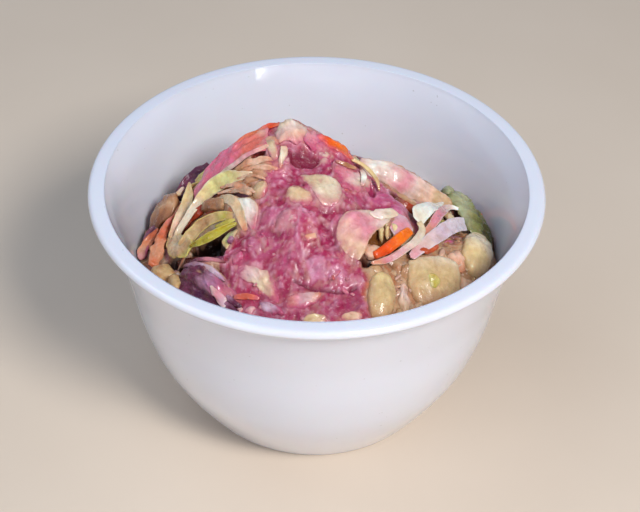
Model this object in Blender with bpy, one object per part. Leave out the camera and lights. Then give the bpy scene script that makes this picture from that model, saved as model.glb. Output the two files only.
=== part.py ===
"""A small round bowl with a rolled lip, filled with coleslaw that is heaped above the rim.

The bowl is one turned body. The slaw is one solid: it fills the bowl and rises to an off-centre peak.
Units are metres, +Z is up, and the origin is the middle of the face that the bowl stands on.
"""

import math

import bmesh
import bpy
from mathutils import Vector, noise

MM = 0.001

# Bowl: the driving dimensions.
RIM_RADIUS = 57.0 * MM
BOWL_HEIGHT = 64.5 * MM
WALL = 2.9 * MM
FLOOR = 4.0 * MM
FLOOR_COVE = 3.6 * MM
COVE_FADE = 2.2 * MM
FOOT_WIDTH = 4.5 * MM
FOOT_RECESS = 1.0 * MM
FOOT_ROUNDING = 0.5 * MM
# Heights and outer radii where the turned wall changes its curve, from the foot to under the lip.
WALL_STATIONS = (
    (0.0, 31.4 * MM),
    (8.0 * MM, 36.7 * MM),
    (18.0 * MM, 42.2 * MM),
    (30.0 * MM, 46.1 * MM),
    (44.0 * MM, 49.1 * MM),
    (60.0 * MM, 53.8 * MM),
    (68.0 * MM, 57.0 * MM),
)
LIP_INNER_RADIUS = 52.6 * MM
LIP_INNER_ROUNDING = 0.6 * MM
LIP_THICKNESS = 2.5 * MM
LIP_FILLET = 0.9 * MM
SEGMENTS = 72
SHARP_FROM = 40.0
# How the bowl's section is divided: the flat of its floor ends at a share of the floor's radius, the
# inner wall's steps are closer together near the floor, and each rounding has its own steps.
FLOOR_FLAT_SHARE = 0.55
INNER_STEPS = 9
INNER_CROWDING = 1.35
OUTER_STEPS = 10
EDGE_STEPS = 6
ROUNDING_STEPS = 3

# Slaw: the driving dimensions.
GAP = 0.3 * MM
PEAK = Vector((-7.5 * MM, 11.5 * MM, 75.0 * MM))
PEAK_SOFTNESS = 0.09
EDGE_HEIGHT = 43.0 * MM
EDGE_TILT = 3.0 * MM
EDGE_TILT_TOWARDS = math.radians(-60.0)
SECTORS = 60
RINGS = 16
SIDE_STEPS = 4
# The side's rings are further apart near its top.
SIDE_CROWDING = 0.8
LUMP_SIZE = 8.0 * MM
LUMP_RISE = 2.4 * MM
# The lumps fade out over the first sixth of the way from the peak and the last fifth before the wall.
LUMP_FADE_AT_PEAK = 6.0
LUMP_FADE_AT_WALL = 5.0
# The line where the slaw meets the wall wavers too: waves in a radian of azimuth, and how far up and down.
WAVER_RATE = 3.0
WAVER_LAYER = 5.0
WAVER_RISE = 1.2 * MM
# Each larger lump or hollow: x, y, how far it reaches, and how far it rises. A hollow's rise is negative.
HILLS = (
    (39.0 * MM, -8.0 * MM, 6.5 * MM, 3.0 * MM),
    (29.0 * MM, -19.0 * MM, 7.0 * MM, 2.0 * MM),
    (14.0 * MM, -31.0 * MM, 6.0 * MM, 2.0 * MM),
    (36.0 * MM, 14.0 * MM, 5.0 * MM, 3.0 * MM),
    (-38.0 * MM, 18.0 * MM, 6.0 * MM, 2.0 * MM),
    (-26.0 * MM, -22.0 * MM, 7.0 * MM, 1.5 * MM),
    (-28.0 * MM, 2.0 * MM, 8.0 * MM, -3.0 * MM),
    (-36.0 * MM, -10.0 * MM, 6.0 * MM, -2.5 * MM),
    (-2.0 * MM, 2.0 * MM, 6.0 * MM, -2.5 * MM),
    (-24.0 * MM, 13.0 * MM, 6.0 * MM, 3.0 * MM),
    (0.0 * MM, -20.0 * MM, 12.0 * MM, 2.0 * MM),
    (8.0 * MM, 26.0 * MM, 12.0 * MM, -7.0 * MM),
    (24.0 * MM, 24.0 * MM, 14.0 * MM, -7.0 * MM),
    (-16.0 * MM, 30.0 * MM, 10.0 * MM, -3.0 * MM),
)


def clear_scene():
    for obj in list(bpy.data.objects):
        bpy.data.objects.remove(obj, do_unlink=True)


def material(name, colour, roughness, coat=0.0):
    """A plain Principled material: colour is linear RGB."""
    made = bpy.data.materials.new(name)
    made.use_nodes = True
    shader = made.node_tree.nodes["Principled BSDF"]
    shader.inputs["Base Color"].default_value = (*colour, 1.0)
    shader.inputs["Roughness"].default_value = roughness
    shader.inputs["Metallic"].default_value = 0.0
    shader.inputs["Coat Weight"].default_value = coat
    made.diffuse_color = (*colour, 1.0)
    return made


def outer_radius(height):
    """Outer radius of the bowl's wall at a height: a smooth curve through the wall's stations."""
    stations = WALL_STATIONS
    last = len(stations) - 2
    index = 0
    while index < last and height > stations[index + 1][0]:
        index += 1
    before = stations[max(index - 1, 0)]
    low, high = stations[index], stations[index + 1]
    after = stations[min(index + 2, len(stations) - 1)]
    span = high[0] - low[0]
    slope_low = (high[1] - before[1]) / (high[0] - before[0])
    slope_high = (after[1] - low[1]) / (after[0] - low[0])
    t = (height - low[0]) / span
    return (
        (2 * t**3 - 3 * t**2 + 1) * low[1]
        + (t**3 - 2 * t**2 + t) * span * slope_low
        + (3 * t**2 - 2 * t**3) * high[1]
        + (t**3 - t**2) * span * slope_high
    )


def inner_radius(height):
    """Inner radius of the bowl's wall at a height, with a cove where the wall runs into the floor."""
    cove = FLOOR_COVE * math.exp(-(height - FLOOR) / COVE_FADE)
    return outer_radius(height) - WALL - cove


def arc(centre, radius, start, end, steps):
    """Points (radius from the axis, height) along an arc whose angles are in degrees."""
    points = []
    for step in range(steps + 1):
        angle = math.radians(start + (end - start) * step / steps)
        points.append((centre[0] + radius * math.cos(angle), centre[1] + radius * math.sin(angle)))
    return points


def spaced(low, high, steps, power=1.0):
    """Numbers from low to high, both included, closer together at low where power is over 1."""
    return [low + (high - low) * (step / steps) ** power for step in range(steps + 1)]


def inner_profile():
    """Floor, inner wall and the lip's inner corner, from the axis outwards and up."""
    corner = LIP_INNER_ROUNDING
    top = BOWL_HEIGHT - corner
    heights = spaced(FLOOR, top, INNER_STEPS, INNER_CROWDING)
    points = [(0.0, FLOOR), (inner_radius(FLOOR) * FLOOR_FLAT_SHARE, FLOOR)]
    for height in heights[:-1]:
        points.append((inner_radius(height), height))
    points += arc((LIP_INNER_RADIUS + corner, top), corner, 180.0, 90.0, ROUNDING_STEPS)
    return points


def lip_profile():
    """The lip's top, its round outer edge and its underside, then the fillet down to the wall."""
    half = LIP_THICKNESS / 2
    edge = (RIM_RADIUS - half, BOWL_HEIGHT - half)
    points = arc(edge, half, 90.0, -90.0, EDGE_STEPS)
    under = BOWL_HEIGHT - LIP_THICKNESS
    wall = outer_radius(under - LIP_FILLET)
    points += arc((wall + LIP_FILLET, under - LIP_FILLET), LIP_FILLET, 90.0, 180.0, ROUNDING_STEPS)
    return points


def outer_profile():
    """Outer wall from under the lip down to the foot, and the shallow recess inside the foot."""
    top = BOWL_HEIGHT - LIP_THICKNESS - LIP_FILLET
    heights = spaced(FOOT_ROUNDING, top, OUTER_STEPS)
    points = []
    for height in reversed(heights[:-1]):
        points.append((outer_radius(height), height))
    foot_outside = outer_radius(0.0) - FOOT_ROUNDING
    foot_inside = foot_outside - FOOT_WIDTH
    points.append((foot_outside, 0.0))
    points.append((foot_inside, 0.0))
    points.append((foot_inside - FOOT_RECESS, FOOT_RECESS))
    points.append((0.0, FOOT_RECESS))
    return points


def turned_mesh(name, profile, segments):
    """A closed mesh turned about the Z axis from a profile that starts and ends on the axis."""
    mesh = bpy.data.meshes.new(name)
    body = bmesh.new()
    first = body.verts.new((0.0, 0.0, profile[0][1]))
    last = body.verts.new((0.0, 0.0, profile[-1][1]))
    rings = []
    for radius, height in profile[1:-1]:
        ring = []
        for segment in range(segments):
            angle = math.tau * segment / segments
            ring.append(body.verts.new((radius * math.cos(angle), radius * math.sin(angle), height)))
        rings.append(ring)
    for segment in range(segments):
        following = (segment + 1) % segments
        body.faces.new((first, rings[0][segment], rings[0][following]))
        body.faces.new((last, rings[-1][following], rings[-1][segment]))
        for ring, outer in zip(rings, rings[1:]):
            body.faces.new((ring[segment], outer[segment], outer[following], ring[following]))
    bmesh.ops.recalc_face_normals(body, faces=body.faces)
    body.to_mesh(mesh)
    body.free()
    return mesh


def edge_point(azimuth):
    """Where the slaw's surface meets the bowl's wall, at an azimuth about the bowl's axis."""
    height = EDGE_HEIGHT + EDGE_TILT * math.cos(azimuth - EDGE_TILT_TOWARDS)
    around = Vector((WAVER_RATE * math.cos(azimuth), WAVER_RATE * math.sin(azimuth), WAVER_LAYER))
    height += WAVER_RISE * noise.noise(around)
    radius = inner_radius(height) - GAP
    return Vector((radius * math.cos(azimuth), radius * math.sin(azimuth), height))


def hills_at(x, y):
    """Sum of the larger lumps and hollows over a place in the plan."""
    total = 0.0
    for hill_x, hill_y, reach, rise in HILLS:
        distance = math.hypot(x - hill_x, y - hill_y) / reach
        total += rise * math.exp(-(distance**2))
    return total


def surface_point(azimuth, share):
    """A point of the heap's top: share is 0 at the peak and 1 at the bowl's wall."""
    edge = edge_point(azimuth)
    x = PEAK.x + (edge.x - PEAK.x) * share
    y = PEAK.y + (edge.y - PEAK.y) * share
    softened = math.sqrt(share**2 + PEAK_SOFTNESS**2) - PEAK_SOFTNESS
    softened /= math.sqrt(1.0 + PEAK_SOFTNESS**2) - PEAK_SOFTNESS
    height = PEAK.z + (edge.z - PEAK.z) * softened
    lumps = LUMP_RISE * noise.noise(Vector((x, y, 0.0)) / LUMP_SIZE)
    calm_at_peak = min(1.0, share * LUMP_FADE_AT_PEAK)
    calm_at_wall = min(1.0, (1.0 - share) * LUMP_FADE_AT_WALL)
    height += (lumps * calm_at_wall + hills_at(x, y)) * calm_at_peak
    # The last ring stays on the wall: a lump there lifts the line where the two meet.
    limit = inner_radius(min(height, BOWL_HEIGHT - LIP_THICKNESS)) - GAP
    radius = math.hypot(x, y)
    if radius > limit or share == 1.0:
        x *= limit / radius
        y *= limit / radius
    return Vector((x, y, height))


def heap_rings():
    """Rings of points over the heap's top, then down the bowl's wall and in over its floor."""
    azimuths = [math.tau * sector / SECTORS for sector in range(SECTORS)]
    rings = []
    for ring in range(1, RINGS + 1):
        share = ring / RINGS
        rings.append([surface_point(azimuth, share) for azimuth in azimuths])
    contact = rings[-1]
    floor = FLOOR + GAP
    for step in range(1, SIDE_STEPS + 1):
        drop = (step / SIDE_STEPS) ** SIDE_CROWDING
        ring = []
        for azimuth, top in zip(azimuths, contact):
            height = top.z + (floor - top.z) * drop
            radius = inner_radius(height) - GAP
            outer = math.hypot(top.x, top.y)
            radius = min(radius, outer)
            ring.append(Vector((radius * math.cos(azimuth), radius * math.sin(azimuth), height)))
        rings.append(ring)
    return rings


def heap_mesh(name):
    """The slaw's closed mesh: a fan at the peak, bands between the rings and a fan over the floor."""
    mesh = bpy.data.meshes.new(name)
    body = bmesh.new()
    peak = body.verts.new(PEAK)
    middle = body.verts.new((0.0, 0.0, FLOOR + GAP))
    rings = [[body.verts.new(point) for point in ring] for ring in heap_rings()]
    for sector in range(SECTORS):
        following = (sector + 1) % SECTORS
        body.faces.new((peak, rings[0][sector], rings[0][following]))
        body.faces.new((middle, rings[-1][following], rings[-1][sector]))
        for ring, outer in zip(rings, rings[1:]):
            body.faces.new((ring[sector], outer[sector], outer[following], ring[following]))
    bmesh.ops.recalc_face_normals(body, faces=body.faces)
    bmesh.ops.triangulate(body, faces=body.faces)
    body.to_mesh(mesh)
    body.free()
    return mesh


def add_object(name, mesh, surface):
    made = bpy.data.objects.new(name, mesh)
    made.data.materials.append(surface)
    bpy.context.scene.collection.objects.link(made)
    return made


def build_bowl():
    profile = inner_profile() + lip_profile() + outer_profile()
    mesh = turned_mesh("bowl", profile, SEGMENTS)
    mesh.shade_smooth()
    mesh.set_sharp_from_angle(angle=math.radians(SHARP_FROM))
    add_object("bowl", mesh, material("white_melamine", (0.80, 0.80, 0.84), 0.16))


def build_slaw():
    mesh = heap_mesh("slaw")
    mesh.shade_smooth()
    add_object("slaw", mesh, material("pink_slaw", (0.50, 0.16, 0.22), 0.38, coat=0.3))


def main():
    clear_scene()
    build_bowl()
    build_slaw()


main()
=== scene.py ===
"""The looks of a small white bowl heaped with coleslaw under a pink dressing.

Lengths here are millimetres unless a name says otherwise, and become metres when a mesh is made.
A place on the slaw is given as (x, y, lift): lift is the height above the CAD heap's smooth surface.
"""

import itertools
import math

import bpy
import numpy as np
from mathutils import Matrix, Vector
from mathutils.bvhtree import BVHTree


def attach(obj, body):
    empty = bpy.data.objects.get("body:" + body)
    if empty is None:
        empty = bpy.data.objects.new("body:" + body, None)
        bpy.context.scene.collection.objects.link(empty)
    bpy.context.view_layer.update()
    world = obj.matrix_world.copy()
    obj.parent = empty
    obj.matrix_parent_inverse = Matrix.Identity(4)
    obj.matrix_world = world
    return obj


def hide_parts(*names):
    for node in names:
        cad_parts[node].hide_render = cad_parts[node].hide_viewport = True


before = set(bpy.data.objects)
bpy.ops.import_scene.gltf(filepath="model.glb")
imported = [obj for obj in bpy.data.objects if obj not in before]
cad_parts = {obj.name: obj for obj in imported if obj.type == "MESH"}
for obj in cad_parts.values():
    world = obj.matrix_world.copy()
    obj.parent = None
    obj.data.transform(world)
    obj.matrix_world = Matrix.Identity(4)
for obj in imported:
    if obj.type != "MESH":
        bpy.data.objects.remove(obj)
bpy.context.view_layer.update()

MM = 0.001

# The plan grid that the heap's height and colours are worked out on.
GRID_HALF = 50.0
GRID_STEP = 0.25
# The coarser grid that the CAD heap's surface is read on.
CAD_STEP = 1.0
# The CAD heap's top stands higher than this everywhere.
LOWEST_TOP = 38.0
# Nothing in the bowl comes nearer to its wall than this, or stands higher than HIGHEST.
WALL_CLEARANCE = 0.2
HIGHEST = 76.3
# How far the dressing reaches out and falls away from a piece that lies in it.
BED_BLUR = 0.45
BED_FALL = 2.6
# How deep a piece lies in the dressing, and how far the dressing laps over its edge.
BED_SINK = 0.45
BED_LAP = 0.4
# How far out covered lumps, covered shreds, loose shreds and crumbs lie.
LUMP_RADIUS = 47
STRAND_RADIUS = 46
LOOSE_RADIUS = 44
CRUMB_RADIUS = 43

# The dressing's colours: a deep tone for its pools and for the painted shade in its low places, its own
# pink, a paler pink where it thins, and a painted sheen and glints.
SAUCE_DEEP_AND_SHADE = "#861840"
SAUCE = "#b4245a"
SAUCE_PALE = "#d87294"
SAUCE_SHEEN = "#ecb4c6"
TAN_DRESSING = "#c99f7e"
# How much every tone is deepened, to make up for the gloss that lies over it.
DEPTH = 0.86
DEPTH_POWER = 1.15

# Where the dressing covers the slaw, and where pale chunks lie in a thin tan dressing. Plan outlines.
SAUCE_OUTLINE = [
    (-15, 10), (-15, 3), (-12, -3), (-14, -9), (-17, -13), (-22, -17), (-24, -20), (-21, -25),
    (-20, -30), (-17, -36), (-12, -43), (0, -48), (12, -48), (13, -36), (13, -30), (12, -25),
    (9, -20), (11, -13), (17, -9), (23, -7), (24, -1), (18, 3), (12, 7), (7, 15), (-2, 22), (-11, 20),
]
CHUNK_OUTLINE = [
    (13, -24), (20, -20), (24, -15), (31, -11), (36, -5), (50, -3), (50, -30), (30, -50), (12, -50),
    (13, -34),
]


# ---------------------------------------------------------------- numbers and noise


def linear(tone):
    """Linear RGB of a tone such as #d08ba6, deepened."""
    coded = np.array([int(tone[place : place + 2], 16) / 255 for place in (1, 3, 5)])
    plain = np.where(coded <= 0.04045, coded / 12.92, ((coded + 0.055) / 1.055) ** 2.4)
    return DEPTH * plain**DEPTH_POWER


TONES = {
    "white": "#faf5ea", "ivory": "#ecdcc4", "cream": "#e8cfaa", "beige": "#e0c098", "butter": "#efd6a0",
    "straw": "#ecdc88", "lemon": "#f4e8a0", "lime": "#c6b83e", "olive_lime": "#b5a844", "tan": "#cfa67e",
    "brown": "#b4805a", "umber": "#905e40", "peach": "#f2cab0", "apricot": "#e4a07c", "blush": "#ecd0c6",
    "rose": "#e69ca6", "pink": "#ee7f9c", "coral": "#f28474", "orange": "#f2600a",
    "bright_orange": "#fe8612", "carrot": "#da6f3c", "rust": "#b84c26", "red": "#a8331f",
    "magenta": "#c0567f", "mauve": "#e0709c", "plum": "#82405c", "violet": "#5a2a4c", "lilac": "#b688a0",
    "lavender": "#dcc2cc", "pearl": "#e8dade", "sage": "#b4b48e", "moss": "#8b8d52", "olive": "#545020",
    "sand": "#dabd8c", "dun": "#c49a6c", "dusk": "#6c2c28",
}


def shades(names):
    """Linear colours of tones named in a line, such as "cream tan brown"."""
    return [linear(TONES[name]) for name in names.split()]


def ramp(value, low, high):
    """0 below low, 1 above high and a smooth step between."""
    share = np.clip((value - low) / (high - low), 0, 1)
    return share * share * (3 - 2 * share)


class Noise:
    """Seeded gradient noise, from about -1 to 1."""

    def __init__(self, seed):
        draw = np.random.default_rng(seed)
        self.order = np.concatenate([draw.permutation(256)] * 2)
        directions = draw.normal(size=(256, 3))
        self.directions = directions / np.linalg.norm(directions, axis=1)[:, None]

    def at(self, points, size):
        """One number for each point. size is the width of the noise's lumps, for one or all axes."""
        scaled = np.asarray(points, float) / size
        cell = np.floor(scaled).astype(int)
        local = scaled - cell
        fade = local**3 * (local * (6 * local - 15) + 10)
        total = np.zeros(len(scaled))
        for corner in itertools.product((0, 1), repeat=3):
            index = (cell + corner) & 255
            slot = self.order[index[:, 0]]
            slot = self.order[slot + index[:, 1]]
            slot = self.order[slot + index[:, 2]]
            weight = np.prod(np.where(corner, fade, 1 - fade), axis=1)
            total += weight * np.einsum("ij,ij->i", self.directions[slot], local - corner)
        return total * 1.6


NOISE = Noise(11)


def curve(values, count):
    """count numbers or points along a smooth curve through the given ones."""
    values = np.asarray(values, float)
    flat = values.ndim == 1
    if flat:
        values = values[:, None]
    padded = np.vstack([2 * values[0] - values[1], values, 2 * values[-1] - values[-2]])
    at = np.linspace(0, len(values) - 1, count)
    index = np.minimum(at.astype(int), len(values) - 2)
    t = (at - index)[:, None]
    before, low, high, after = (padded[index + shift] for shift in range(4))
    made = 0.5 * (
        2 * low
        + (high - before) * t
        + (2 * before - 5 * low + 4 * high - after) * t**2
        + (3 * low - before - 3 * high + after) * t**3
    )
    return made[:, 0] if flat else made


def evenly(path, spacing, fewest=10):
    """The smooth curve through path as points an even distance apart, with the distance along it."""
    fine = curve(path, 40 * len(path))
    along = np.concatenate([[0], np.cumsum(np.linalg.norm(np.diff(fine, axis=0), axis=1))])
    count = max(fewest, int(along[-1] / spacing))
    at = np.linspace(0, along[-1], count)
    return np.column_stack([np.interp(at, along, fine[:, axis]) for axis in range(3)]), at


def unit(vectors):
    """The vectors at length 1."""
    return vectors / np.maximum(np.linalg.norm(vectors, axis=-1, keepdims=True), 1e-9)


# ---------------------------------------------------------------- the plan grid


def grid_axes():
    """X and Y at every point of the plan grid."""
    count = int(round(2 * GRID_HALF / GRID_STEP)) + 1
    axis = np.linspace(-GRID_HALF, GRID_HALF, count)
    return np.meshgrid(axis, axis)


def sample(field, x, y, step=GRID_STEP):
    """A field's value at places in the plan, read between its grid points."""
    last = field.shape[0] - 1.001
    column = np.clip((np.asarray(x) + GRID_HALF) / step, 0, last)
    row = np.clip((np.asarray(y) + GRID_HALF) / step, 0, last)
    left, low = column.astype(int), row.astype(int)
    right_share, high_share = column - left, row - low
    if field.ndim == 3:
        right_share, high_share = right_share[..., None], high_share[..., None]
    near = field[low, left] * (1 - right_share) + field[low, left + 1] * right_share
    far = field[low + 1, left] * (1 - right_share) + field[low + 1, left + 1] * right_share
    return near * (1 - high_share) + far * high_share


def blur(field, reach):
    """The field with a Gaussian blur of that reach."""
    radius = int(3 * reach / GRID_STEP)
    taps = np.exp(-0.5 * (np.arange(-radius, radius + 1) * GRID_STEP / reach) ** 2)
    taps /= taps.sum()
    for axis in (0, 1):
        edges = [(radius, radius) if axis == other else (0, 0) for other in (0, 1)]
        padded = np.pad(field, edges, mode="edge")
        field = np.apply_along_axis(np.convolve, axis, padded, taps, mode="valid")
    return field


def inside(outline, x, y):
    """Whether each place is inside a closed plan outline."""
    result = np.zeros(x.shape, bool)
    for (ax, ay), (bx, by) in zip(outline, outline[1:] + outline[:1]):
        if ay == by:
            continue
        crosses = (ay > y) != (by > y)
        result ^= crosses & (x < (bx - ax) * (y - ay) / (by - ay) + ax)
    return result


# ---------------------------------------------------------------- the bowl and the heap in the frame


def section_of(node):
    """The turned node's section in the half-plane Y = 0, X > 0: (radius, height) from axis to axis.

    A flat face has no edge of the section across it, so the walk steps over it at the same height.
    """
    mesh = node.data
    keys = [tuple(round(c / MM, 3) for c in vertex.co) for vertex in mesh.vertices]
    joined = {}
    for edge in mesh.edges:
        a, b = (keys[index] for index in edge.vertices)
        if a != b and all(abs(p[1]) < 0.002 and p[0] > -0.002 for p in (a, b)):
            joined.setdefault(a, set()).add(b)
            joined.setdefault(b, set()).add(a)
    at = min(joined)
    section = [at]
    left = set(joined) - {at}
    while left:
        onward = joined[at] & left or left
        last = section[-1]
        at = min(onward, key=lambda key: (round(abs(key[2] - last[2]), 2), abs(key[0] - last[0])))
        section.append(at)
        left.discard(at)
    section = [(0.0, 0.0, section[0][2])] + section + [(0.0, 0.0, section[-1][2])]
    return np.array([(key[0], key[2]) for key in reversed(section)])


def top_at(tree, x, y):
    """The height of the surface over (x, y), or over the nearest place towards the middle that has one."""
    radius = math.hypot(x, y)
    found = None
    while found is None:
        share = min(1.0, radius / max(math.hypot(x, y), 1e-6))
        found = tree.ray_cast(Vector((x * share, y * share, 200)), Vector((0, 0, -1)))[0]
        if found is not None and found.z < LOWEST_TOP:
            found = None
        radius -= 0.4
    return found.z


class Heap:
    """The slaw's shape over the plan: skin is the CAD surface, core the relief that the pieces lie on."""

    def __init__(self, slaw, bowl_section):
        rim = int(np.argmax(bowl_section[:, 1]))
        inner = bowl_section[1 : rim + 1]
        self.wall_heights, self.wall_radii = inner[:, 1], inner[:, 0]
        self.x, self.y = grid_axes()
        self.skin = self.read_skin(slaw)
        self.core = self.skin.copy()
        self.sauce = self.region(SAUCE_OUTLINE, 1.6, 0.6)
        self.chunks = self.region(CHUNK_OUTLINE, 1.2, 0.8) * (1 - self.sauce)
        self.colours = np.empty(self.skin.shape + (3,))
        self.slope_y, self.slope_x = np.gradient(blur(self.skin, 2.0), GRID_STEP)
        # What lies in the dressing: weight, weight times height, and weight times each of three colours.
        self.beds = np.zeros(self.skin.shape + (5,))
        # The shreds just under the surface, and how deep the hollows are as a share and in millimetres.
        self.strands = np.zeros(self.skin.shape)
        self.strand_tones = np.zeros(self.skin.shape + (3,))
        self.hollows = np.zeros(self.skin.shape)
        self.cuts = np.zeros(self.skin.shape)
        self.unevenness = grid_noise(self, 2.4, 71.5)

    def read_skin(self, slaw):
        """The height of the CAD heap on the plan grid, carried outwards past its edge."""
        mesh = slaw.data
        corners = [vertex.co / MM for vertex in mesh.vertices]
        tree = BVHTree.FromPolygons(corners, [tuple(face.vertices) for face in mesh.polygons])
        axis = np.arange(-GRID_HALF, GRID_HALF + CAD_STEP / 2, CAD_STEP)
        coarse = np.zeros((len(axis), len(axis)))
        for row, y in enumerate(axis):
            for column, x in enumerate(axis):
                coarse[row, column] = top_at(tree, x, y)
        return blur(sample(coarse, self.x, self.y, CAD_STEP), 0.9)

    def region(self, outline, waviness, softness):
        """1 inside a plan outline and 0 outside, with a wavy, soft edge."""
        shape = self.x.shape
        flat = np.column_stack([self.x.ravel(), self.y.ravel(), np.zeros(self.x.size)])
        wave_x = NOISE.at(flat + (0, 0, 3), 4.0).reshape(shape) * waviness
        wave_y = NOISE.at(flat + (0, 0, 9), 4.0).reshape(shape) * waviness
        return blur(inside(outline, self.x + wave_x, self.y + wave_y).astype(float), softness)

    def place(self, path):
        """Points in space for a path of (x, y, lift)."""
        path = np.asarray(path, float)
        ground = sample(self.skin, path[:, 0], path[:, 1])
        return np.column_stack([path[:, 0], path[:, 1], ground + path[:, 2]])

    def normals(self, points):
        """The smooth heap's outward direction under each point."""
        along_x = sample(self.slope_x, points[:, 0], points[:, 1])
        along_y = sample(self.slope_y, points[:, 0], points[:, 1])
        return unit(np.column_stack([-along_x, -along_y, np.ones(len(points))]))

    def lay(self, points, colours, weight, edge_share):
        """Notes that a piece of these colours lies in the dressing, which laps over its edge in places."""
        uneven = NOISE.at(points, 1.6) + 0.5 * NOISE.at(points + 4, 0.8)
        lap = ramp(edge_share, 0.7, 1.0) * BED_LAP * uneven
        points = points + lap[:, None] * (0, 0, 1)
        nearest = np.rint((points[:, :2] + GRID_HALF) / GRID_STEP).astype(int)
        column, row = np.clip(nearest, 0, len(self.x) - 1).T
        noted = np.column_stack([np.ones(len(points)), points[:, 2], colours]) * weight
        np.add.at(self.beds, (row, column), noted)

    def draw_up(self):
        """Raises the core to the undersides of the pieces that lie in it, with a fillet round each."""
        spread = np.dstack([blur(self.beds[..., layer], BED_BLUR) for layer in range(5)])
        share = np.maximum(spread[..., :1], 1e-9)
        level = spread[..., 1] / share[..., 0]
        self.bed_tones = spread[..., 2:] / share
        self.bedded = ramp(spread[..., 0], 0.004, 0.16)
        raised = level - (1 - self.bedded) * BED_FALL + 0.35 * (self.texture - 0.4)
        self.core = np.where(self.bedded > 0, np.maximum(self.core, raised), self.core) - self.cuts

    def keep_in_bowl(self, points):
        """Points moved in where they would be in the bowl's wall, and down where they stand too high."""
        radius = np.hypot(points[:, 0], points[:, 1])
        most = np.interp(points[:, 2], self.wall_heights, self.wall_radii) - WALL_CLEARANCE
        share = np.where(radius > most, most / np.maximum(radius, 1e-6), 1.0)
        height = np.minimum(points[:, 2], HIGHEST)
        return np.column_stack([points[:, 0] * share, points[:, 1] * share, height])


# ---------------------------------------------------------------- the core: dressing and what it covers


def window(heap, x, y, reach):
    """Slices of the plan grid around a place."""
    column = int(round((x + GRID_HALF) / GRID_STEP))
    row = int(round((y + GRID_HALF) / GRID_STEP))
    cells = int(reach / GRID_STEP) + 1
    last = heap.x.shape[0]
    return (
        slice(max(row - cells, 0), min(row + cells + 1, last)),
        slice(max(column - cells, 0), min(column + cells + 1, last)),
    )


def dome_share(heap, area, oval):
    """0 outside an oval mound and 1 at its middle. oval is x, y, length, width and angle."""
    x, y, length, width, angle = oval
    turn = math.radians(angle)
    off_x, off_y = heap.x[area] - x, heap.y[area] - y
    along = (off_x * math.cos(turn) + off_y * math.sin(turn)) / (length / 2)
    across = (off_y * math.cos(turn) - off_x * math.sin(turn)) / (width / 2)
    return np.clip(1 - along**2 - across**2, 0, 1)


def uneven_share(heap, area, oval):
    """dome_share with an uneven outline."""
    share = dome_share(heap, area, oval)
    return np.clip(share + 0.5 * heap.unevenness[area] * ramp(share, 0, 0.3), 0, 1)


def grid_noise(heap, size, layer):
    """Noise on the plan grid, with lumps of that width. Each layer is a noise of its own."""
    flat = np.column_stack([heap.x.ravel(), heap.y.ravel(), np.full(heap.x.size, float(layer))])
    return NOISE.at(flat, (size, size, 1.0)).reshape(heap.x.shape)


def scatter_lumps(heap, draw, count, smallest, largest):
    """Heights of many small overlapping mounds, as covered shreds and crumbs make them."""
    lumps = np.zeros(heap.skin.shape)
    for _ in range(count):
        radius = LUMP_RADIUS * math.sqrt(draw.random())
        azimuth = draw.uniform(0, math.tau)
        x, y = radius * math.cos(azimuth), radius * math.sin(azimuth)
        length = smallest + (largest - smallest) * draw.random() ** 2.2
        width = length * draw.uniform(0.45, 0.9)
        area = window(heap, x, y, length)
        share = dome_share(heap, area, (x, y, length, width, draw.uniform(0, 180)))
        rise = width * draw.uniform(0.2, 0.42)
        lumps[area] = np.maximum(lumps[area], rise * np.sqrt(share))
    return lumps


# Mounds and patches in the dressing: x, y, length, width, angle, rise, colour.
MOUNDS = (
    (-7.5, -15, 5.2, 4.4, 20, 0.8, "#e4a8b4"),
    (-1.5, -14.5, 5.0, 3.0, -30, 0.5, "#d284a4"),
    (-11.5, -12, 5.0, 3.6, 40, 0.5, "#d288a2"),
    (-3.0, -32, 9.0, 4.5, 0, 0.5, "#cf9288"),
    (0.6, -25.5, 6.4, 5.6, 0, 0.3, "#e8b0c8"),
    (5.4, -26.5, 5.4, 4.0, 0, 0.3, "#e2a0c0"),
    (9.6, -27.6, 5.0, 3.0, 10, 0.3, "#dca8b4"),
    (-15.5, -18.5, 6.0, 4.0, -40, 0.5, "#bf6c8e"),
    (-6.0, 8.5, 9.5, 7.0, 0, 0.6, "#e4a890"),
    (-1.0, 10.5, 6.0, 5.0, 0, 0.6, "#e6b49a"),
    (2.0, 6.0, 7.0, 3.6, -20, 0.6, "#e07c88"),
    (1.5, 3.5, 2.8, 2.6, 0, 0.8, "#e0beae"),
    (-9.0, -1.0, 6.0, 3.6, -10, 0.5, "#d68c98"),
    (16.0, -3.0, 8.0, 5.0, 20, 0.5, "#d0709a"),
    (20.0, -5.5, 4.0, 3.4, 0, 0.4, "#c4548c"),
    (2.0, -9.0, 12.0, 5.0, 0, 0.2, "#dc98a4"),
    (-14.0, -25.0, 8.0, 4.0, -45, 0.3, "#e0b0ac"),
    (5.0, -24.4, 2.8, 2.4, 0, 0.3, "#b8186c"),
)
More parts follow.
